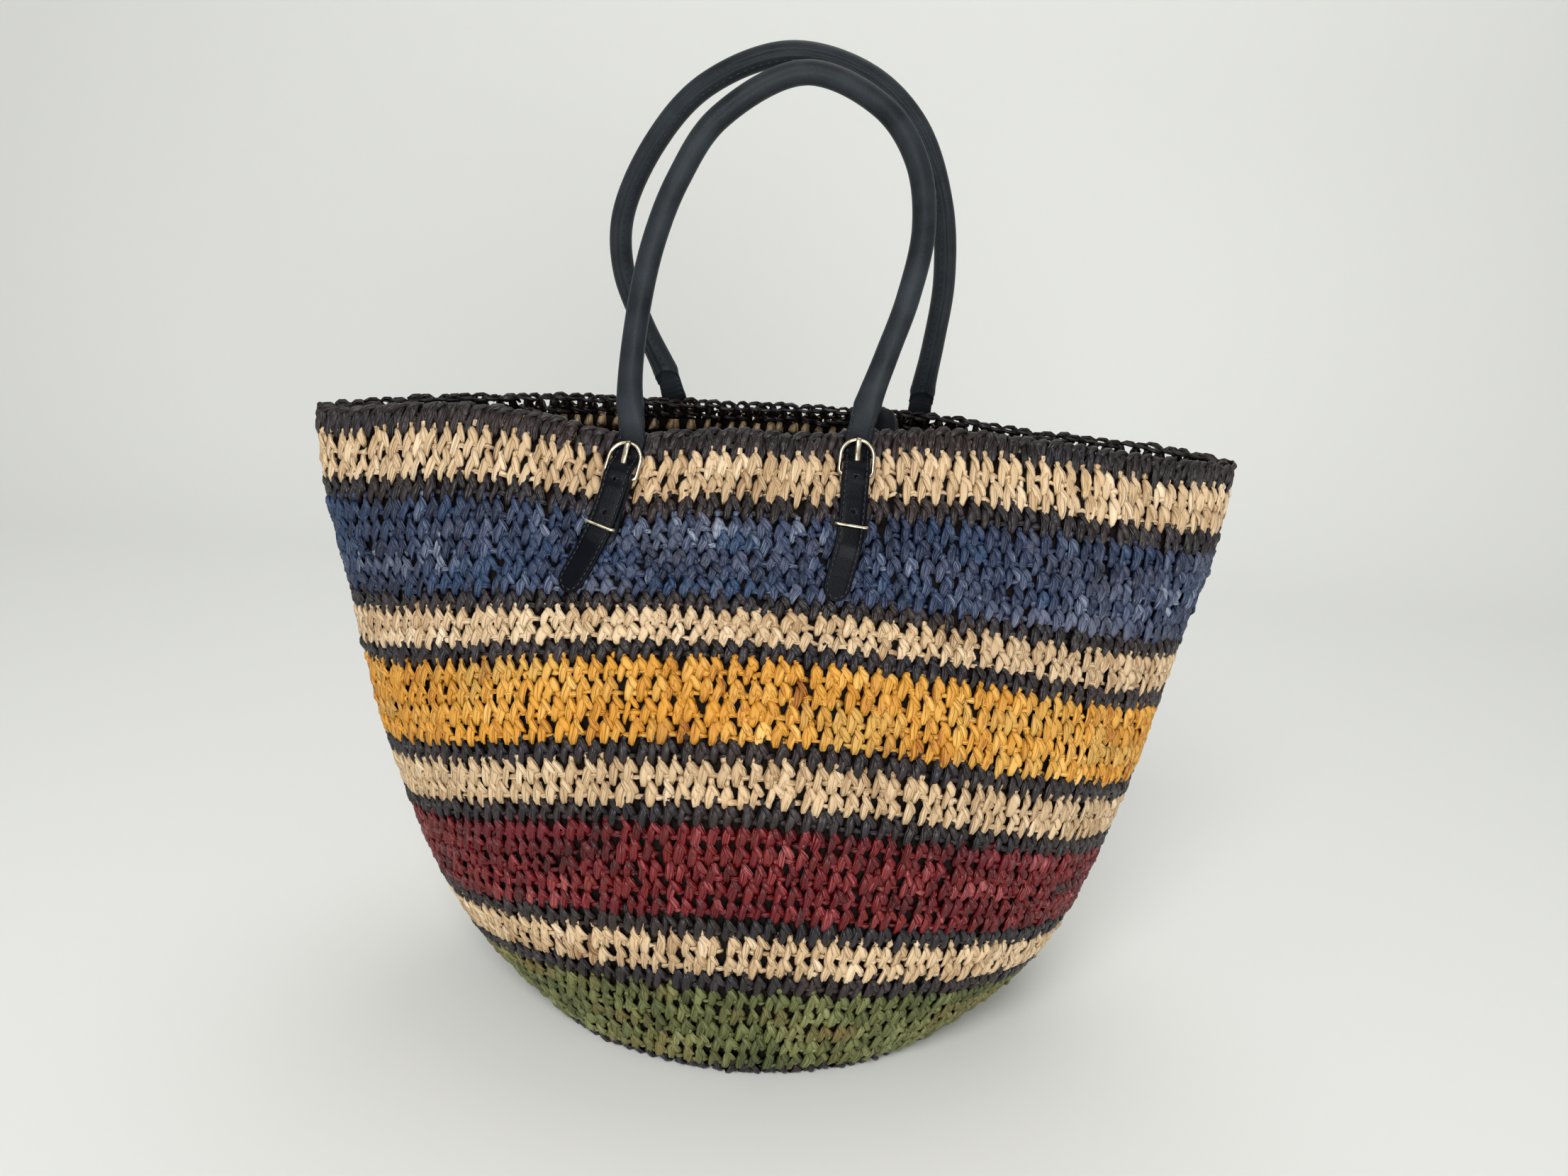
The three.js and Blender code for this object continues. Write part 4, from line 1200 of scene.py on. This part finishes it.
def make_tab(name, line, leather):
    """A strip folded round the bar, with both layers sewn together below it."""
    bundle = Bundle()
    low = -TAB_DROP
    end = low + 5 * (1 - np.cos(np.linspace(0.15, math.pi / 2, 8)))
    rows = np.concatenate([end, [-14, -6, -1, 0]])
    half = TAB_REACH * np.sqrt(np.clip(1 - (1 - np.clip((rows - low) / 5, 0, 1)) ** 2, 0, 1))
    # One side of the section, from its upper edge to its lower, with the groove between the
    # two layers. The other side mirrors it.
    side = [(0.93, 1), (0.99, 0.7), (1, 0.12), (0.97, 0), (1, -0.12), (0.99, -0.7), (0.93, -1)]
    side = np.array(side)
    outline = np.roll(np.concatenate([side, side[::-1] * (-1, 1)]), 3, 0)
    middle = WALL_GAP + TAB_THICKNESS / 2
    across = outline[None, :, 0] * half[:, None] + tab_shift(name, rows)[:, None]
    off = middle + outline[None, :, 1] * TAB_THICKNESS / 2 + np.zeros_like(across)
    bundle.add_grid(line.place(across, rows[:, None] + np.zeros_like(across), off) * MM, False)
    turn = np.arange(20) / 20 * 2 * math.pi
    for low_x, high_x in ((-TAB_REACH, -1.4), (1.4, TAB_REACH)):
        ring = [
            line.place(x, 2.0 * r * np.cos(turn), BAR_OFF + 2.0 * r * np.sin(turn))
            for x, r in ((low_x, 0.9), (low_x + 0.2, 1), (high_x - 0.2, 1), (high_x, 0.9))
        ]
        bundle.add_grid(np.array(ring) * MM, False)
    for sign in (-1, 1):
        rows = np.arange(-4, low + 5, -0.5)
        across = sign * 3.9 + tab_shift(name, rows)
        path = line.place(across, rows, WALL_GAP + TAB_THICKNESS - 0.05)
        sew(bundle, path, line.directions(rows)[2])
    place_piece(bundle.build(f"leather_{name}_tab", leather), f"{name}_tab")


def wire(flat, radius, place, sides=12):
    """A closed loop of round wire round a flat path."""
    flat = np.array(flat)
    run = unit(np.roll(flat, -1, 0) - np.roll(flat, 1, 0))
    turn = np.arange(sides) / sides * 2 * math.pi
    x = flat[:, :1] + run[:, 1:] * radius * np.cos(turn)
    y = flat[:, 1:] - run[:, :1] * radius * np.cos(turn)
    return place(x, y, radius * np.sin(turn) + np.zeros_like(x)) * MM


def make_buckle(name, line, metal):
    half = TAB_REACH + CLEARANCE + FRAME_WIRE
    shoulder = FRAME_LENGTH / 2
    corner = 1.6
    turn = np.linspace(-math.pi / 2, 0, 6)
    flat = [(half - corner + corner * math.cos(a), corner + corner * math.sin(a)) for a in turn]
    turn = np.linspace(0, math.pi, 33)
    flat += [(half * math.cos(a), shoulder + shoulder * math.sin(a)) for a in turn]
    turn = np.linspace(math.pi, 1.5 * math.pi, 6)
    flat += [(-half + corner + corner * math.cos(a), corner + corner * math.sin(a)) for a in turn]

    def tilted(x, y, off):
        return line.place(x, y, BAR_OFF + (ARCH_OFF - BAR_OFF) * y / FRAME_LENGTH + off)

    bundle = Bundle()
    bundle.add_grid(wire(flat, FRAME_WIRE, tilted), True)
    place_piece(bundle.build(f"metal_{name}_buckle", [metal]), f"{name}_buckle")

    bundle = Bundle()
    turn = (np.arange(12) + 0.5) / 12 * 2 * math.pi
    ring = [
        line.place(x, 1.8 * np.cos(turn), BAR_OFF + 1.8 * np.sin(turn)) for x in (-1.05, 1.05)
    ]
    bundle.add_grid(np.array(ring) * MM, False)
    tip_off = ARCH_OFF + FRAME_WIRE + 0.55
    rows = np.linspace(0, 1, 14)
    along = 1.2 + rows * (FRAME_LENGTH + FRAME_WIRE - 1.2)
    off = smooth(
        np.array([0, 0.45, 0.9, 1.0]),
        np.array([BAR_OFF + 0.35, (BAR_OFF + tip_off) / 2 + 0.3, tip_off + 0.1, tip_off - 0.25]),
        rows,
    )
    size = np.interp(rows, [0, 0.9, 1], [1, 1, 0.75])
    outline = [(-1, 0.1), (-0.85, 0.75), (-0.4, 1), (0.4, 1), (0.85, 0.75), (1, 0.1)]
    outline = np.array([*outline, (0.8, -1), (-0.8, -1)])
    x = outline[None, :, 0] * size[:, None]
    z = off[:, None] + outline[None, :, 1] * 0.6 * size[:, None]
    bundle.add_grid(line.place(x, along[:, None] + np.zeros_like(x), z) * MM, False)
    place_piece(bundle.build(f"metal_{name}_prong", [metal]), f"{name}_prong")

    half = TAB_REACH + CLEARANCE + KEEPER_WIRE
    back = WALL_GAP + KEEPER_WIRE
    front = OVER_TAB + HALF_STRAP + CLEARANCE + KEEPER_WIRE
    flat = []
    for x, y, start in (
        (half - 1.1, back + 1.1, -90),
        (half - 1.1, front - 1.1, 0),
        (-half + 1.1, front - 1.1, 90),
        (-half + 1.1, back + 1.1, 180),
    ):
        for turn in range(0, 91, 15):
            a = math.radians(start + turn)
            flat.append((x + 1.1 * math.cos(a), y + 1.1 * math.sin(a)))
    bundle = Bundle()

    def bowed(x, y, off):
        bow = 0.9 * (1 - (x / half) ** 2) * np.clip((y - back) / (front - back), 0, 1)
        return line.place(x, off - KEEPER_DROP - bow, y)

    bundle.add_grid(wire(flat, KEEPER_WIRE, bowed, sides=10), True)
    place_piece(bundle.build(f"metal_{name}_keeper", [metal]), f"{name}_keeper")


def make_inner_tab(leather):
    """A strip folded over at its top, standing inside the mouth."""
    line = WallLine(-1, 0.4, 0.96, 0, 0, 0)
    rim_along = line.alongs[np.argmax((line.points[:, 2] > BODY_HEIGHT / MM) & (line.alongs > 0))]
    low, high = rim_along - 13, rim_along + 13.5
    near = -3.6 - CLEARANCE - 0.4
    gap = 2.4
    radius = gap / 2
    path = [(low, 0.0)]
    path += [(a, 0.0) for a in np.linspace(low + 2, high - radius - 0.6, 10)]
    turn = np.linspace(0, math.pi, 11)
    bend = high - radius - 0.6
    path += [(bend + radius * math.sin(a), radius * math.cos(a) - radius) for a in turn[1:-1]]
    path += [(a, -gap) for a in np.linspace(bend, low + 2, 10)]
    path = np.array(path)
    run = unit(np.gradient(path, axis=0))
    side = np.array([(0.96, 1), (1, 0.3), (1, -0.3), (0.96, -1)])
    outline = np.roll(np.concatenate([side, side[::-1] * (-1, 1)]), 2, 0)
    thick = 0.6
    half = 4.25 * np.sqrt(np.clip((high + 0.4 - path[:, :1]) / 4, 0.2, 1))
    along = path[:, :1] - run[:, 1:] * outline[None, :, 1] * thick
    off = path[:, 1:] + run[:, :1] * outline[None, :, 1] * thick + near - thick
    # The strip stands a little askew, so that its folded edge shows past the handle.
    twist = np.interp(along, [low, rim_along, high], [0.0, 0.25, 0.5])
    x = outline[None, :, 0] * half
    across = x * np.cos(twist) - (off - near) * np.sin(twist)
    off = near + (off - near) * np.cos(twist) - (x + 4.25) * np.sin(twist)
    bundle = Bundle()
    # Its cut edges are paler than its faces.
    tones = np.full((len(path), len(outline), 3), 0.2)
    tones[:, np.abs(outline[:, 0]) == 1] = 1
    bundle.add_grid(line.place(across, along, off) * MM, False, tones.reshape(-1, 3))
    place_piece(bundle.build("leather_inner_tab", leather), "inner_tab")


def make_camera():
    data = bpy.data.cameras.new("camera")
    camera = bpy.data.objects.new("camera", data)
    bpy.context.scene.collection.objects.link(camera)
    data.sensor_width = 36
    data.lens = FOCAL_PIXELS / IMAGE_WIDTH * data.sensor_width
    data.clip_start = 0.01
    look = Matrix.Rotation(math.pi / 2 - CAMERA_PITCH, 4, "X")
    roll = Matrix.Rotation(CAMERA_ROLL, 4, "Z")
    camera.matrix_world = Matrix.Translation(CAMERA_PLACE) @ look @ roll
    bpy.context.scene.camera = camera


def area_light(name, place, target, size, power):
    data = bpy.data.lights.new(name, "AREA")
    data.shape = "DISK"
    data.size = size
    data.energy = power
    light = bpy.data.objects.new(name, data)
    light.location = place
    light.rotation_mode = "QUATERNION"
    aim = Vector(target) - Vector(place)
    light.rotation_quaternion = aim.to_track_quat("-Z", "Y")
    bpy.context.scene.collection.objects.link(light)


def make_stage():
    """A pale floor that curves up into a backdrop, and soft light from above."""
    made = Nodes("pale_paper")
    made.shader.inputs["Base Color"].default_value = (*linear((225, 226, 222)), 1)
    made.shader.inputs["Roughness"].default_value = 0.9
    profile = [(-2.2, 0.0), (0.55, 0.0)]
    bend = 0.45
    for i in range(1, 13):
        turn = i / 12 * math.pi / 2
        profile.append((0.55 + bend * math.sin(turn), bend * (1 - math.cos(turn))))
    profile.append((0.55 + bend, 2.6))
    points = [(x, y, z) for y, z in profile for x in (-2.6, 2.6)]
    faces = [(2 * i, 2 * i + 1, 2 * i + 3, 2 * i + 2) for i in range(len(profile) - 1)]
    mesh = bpy.data.meshes.new("floor")
    mesh.from_pydata(points, [], faces)
    mesh.materials.append(made.material)
    for polygon in mesh.polygons:
        polygon.use_smooth = True
    floor = bpy.data.objects.new("floor", mesh)
    bpy.context.scene.collection.objects.link(floor)
    world = bpy.data.worlds.new("world")
    bpy.context.scene.world = world
    world.use_nodes = True
    background = world.node_tree.nodes["Background"]
    background.inputs[0].default_value = (1.0, 1.0, 1.0, 1)
    background.inputs[1].default_value = 0.46
    area_light("key", (-0.22, -0.9, 1.1), (0, 0, 0.15), 0.6, 8.4)
    area_light("top", (0.2, 0.45, 1.5), (0, 0, 0.2), 1.2, 5.5)
    area_light("front", (0.25, -1.6, 0.12), (0, 0, 0.05), 1.0, 24)
    bpy.context.scene.view_settings.view_transform = "Standard"


make_camera()
make_stage()

materials = {colour: raffia_material(colour) for colour in DYES}
# The core shells' dark colour is painted shade.
materials["ground"] = ground_material()
wall = Wall()
for (name, start, colour), (_, end, _) in zip(RINGS, RINGS[1:] + RINGS[-1:]):
    make_band(wall, name, start, end, colour, materials)

leather = [leather_material(), thread_material()]
metal = metal_material()
lines = {name: WallLine(*place) for name, place in FASTENINGS.items()}
make_handle(
    "front_handle", lines["front_left"], lines["front_right"], FRONT_ARCH, FRONT_RISE, -1, leather
)
make_handle("back_handle", lines["back_left"], lines["back_right"], BACK_ARCH, BACK_RISE, 1, leather)
for name, line in lines.items():
    make_tab(name, line, leather)
    make_buckle(name, line, metal)
make_inner_tab(leather)
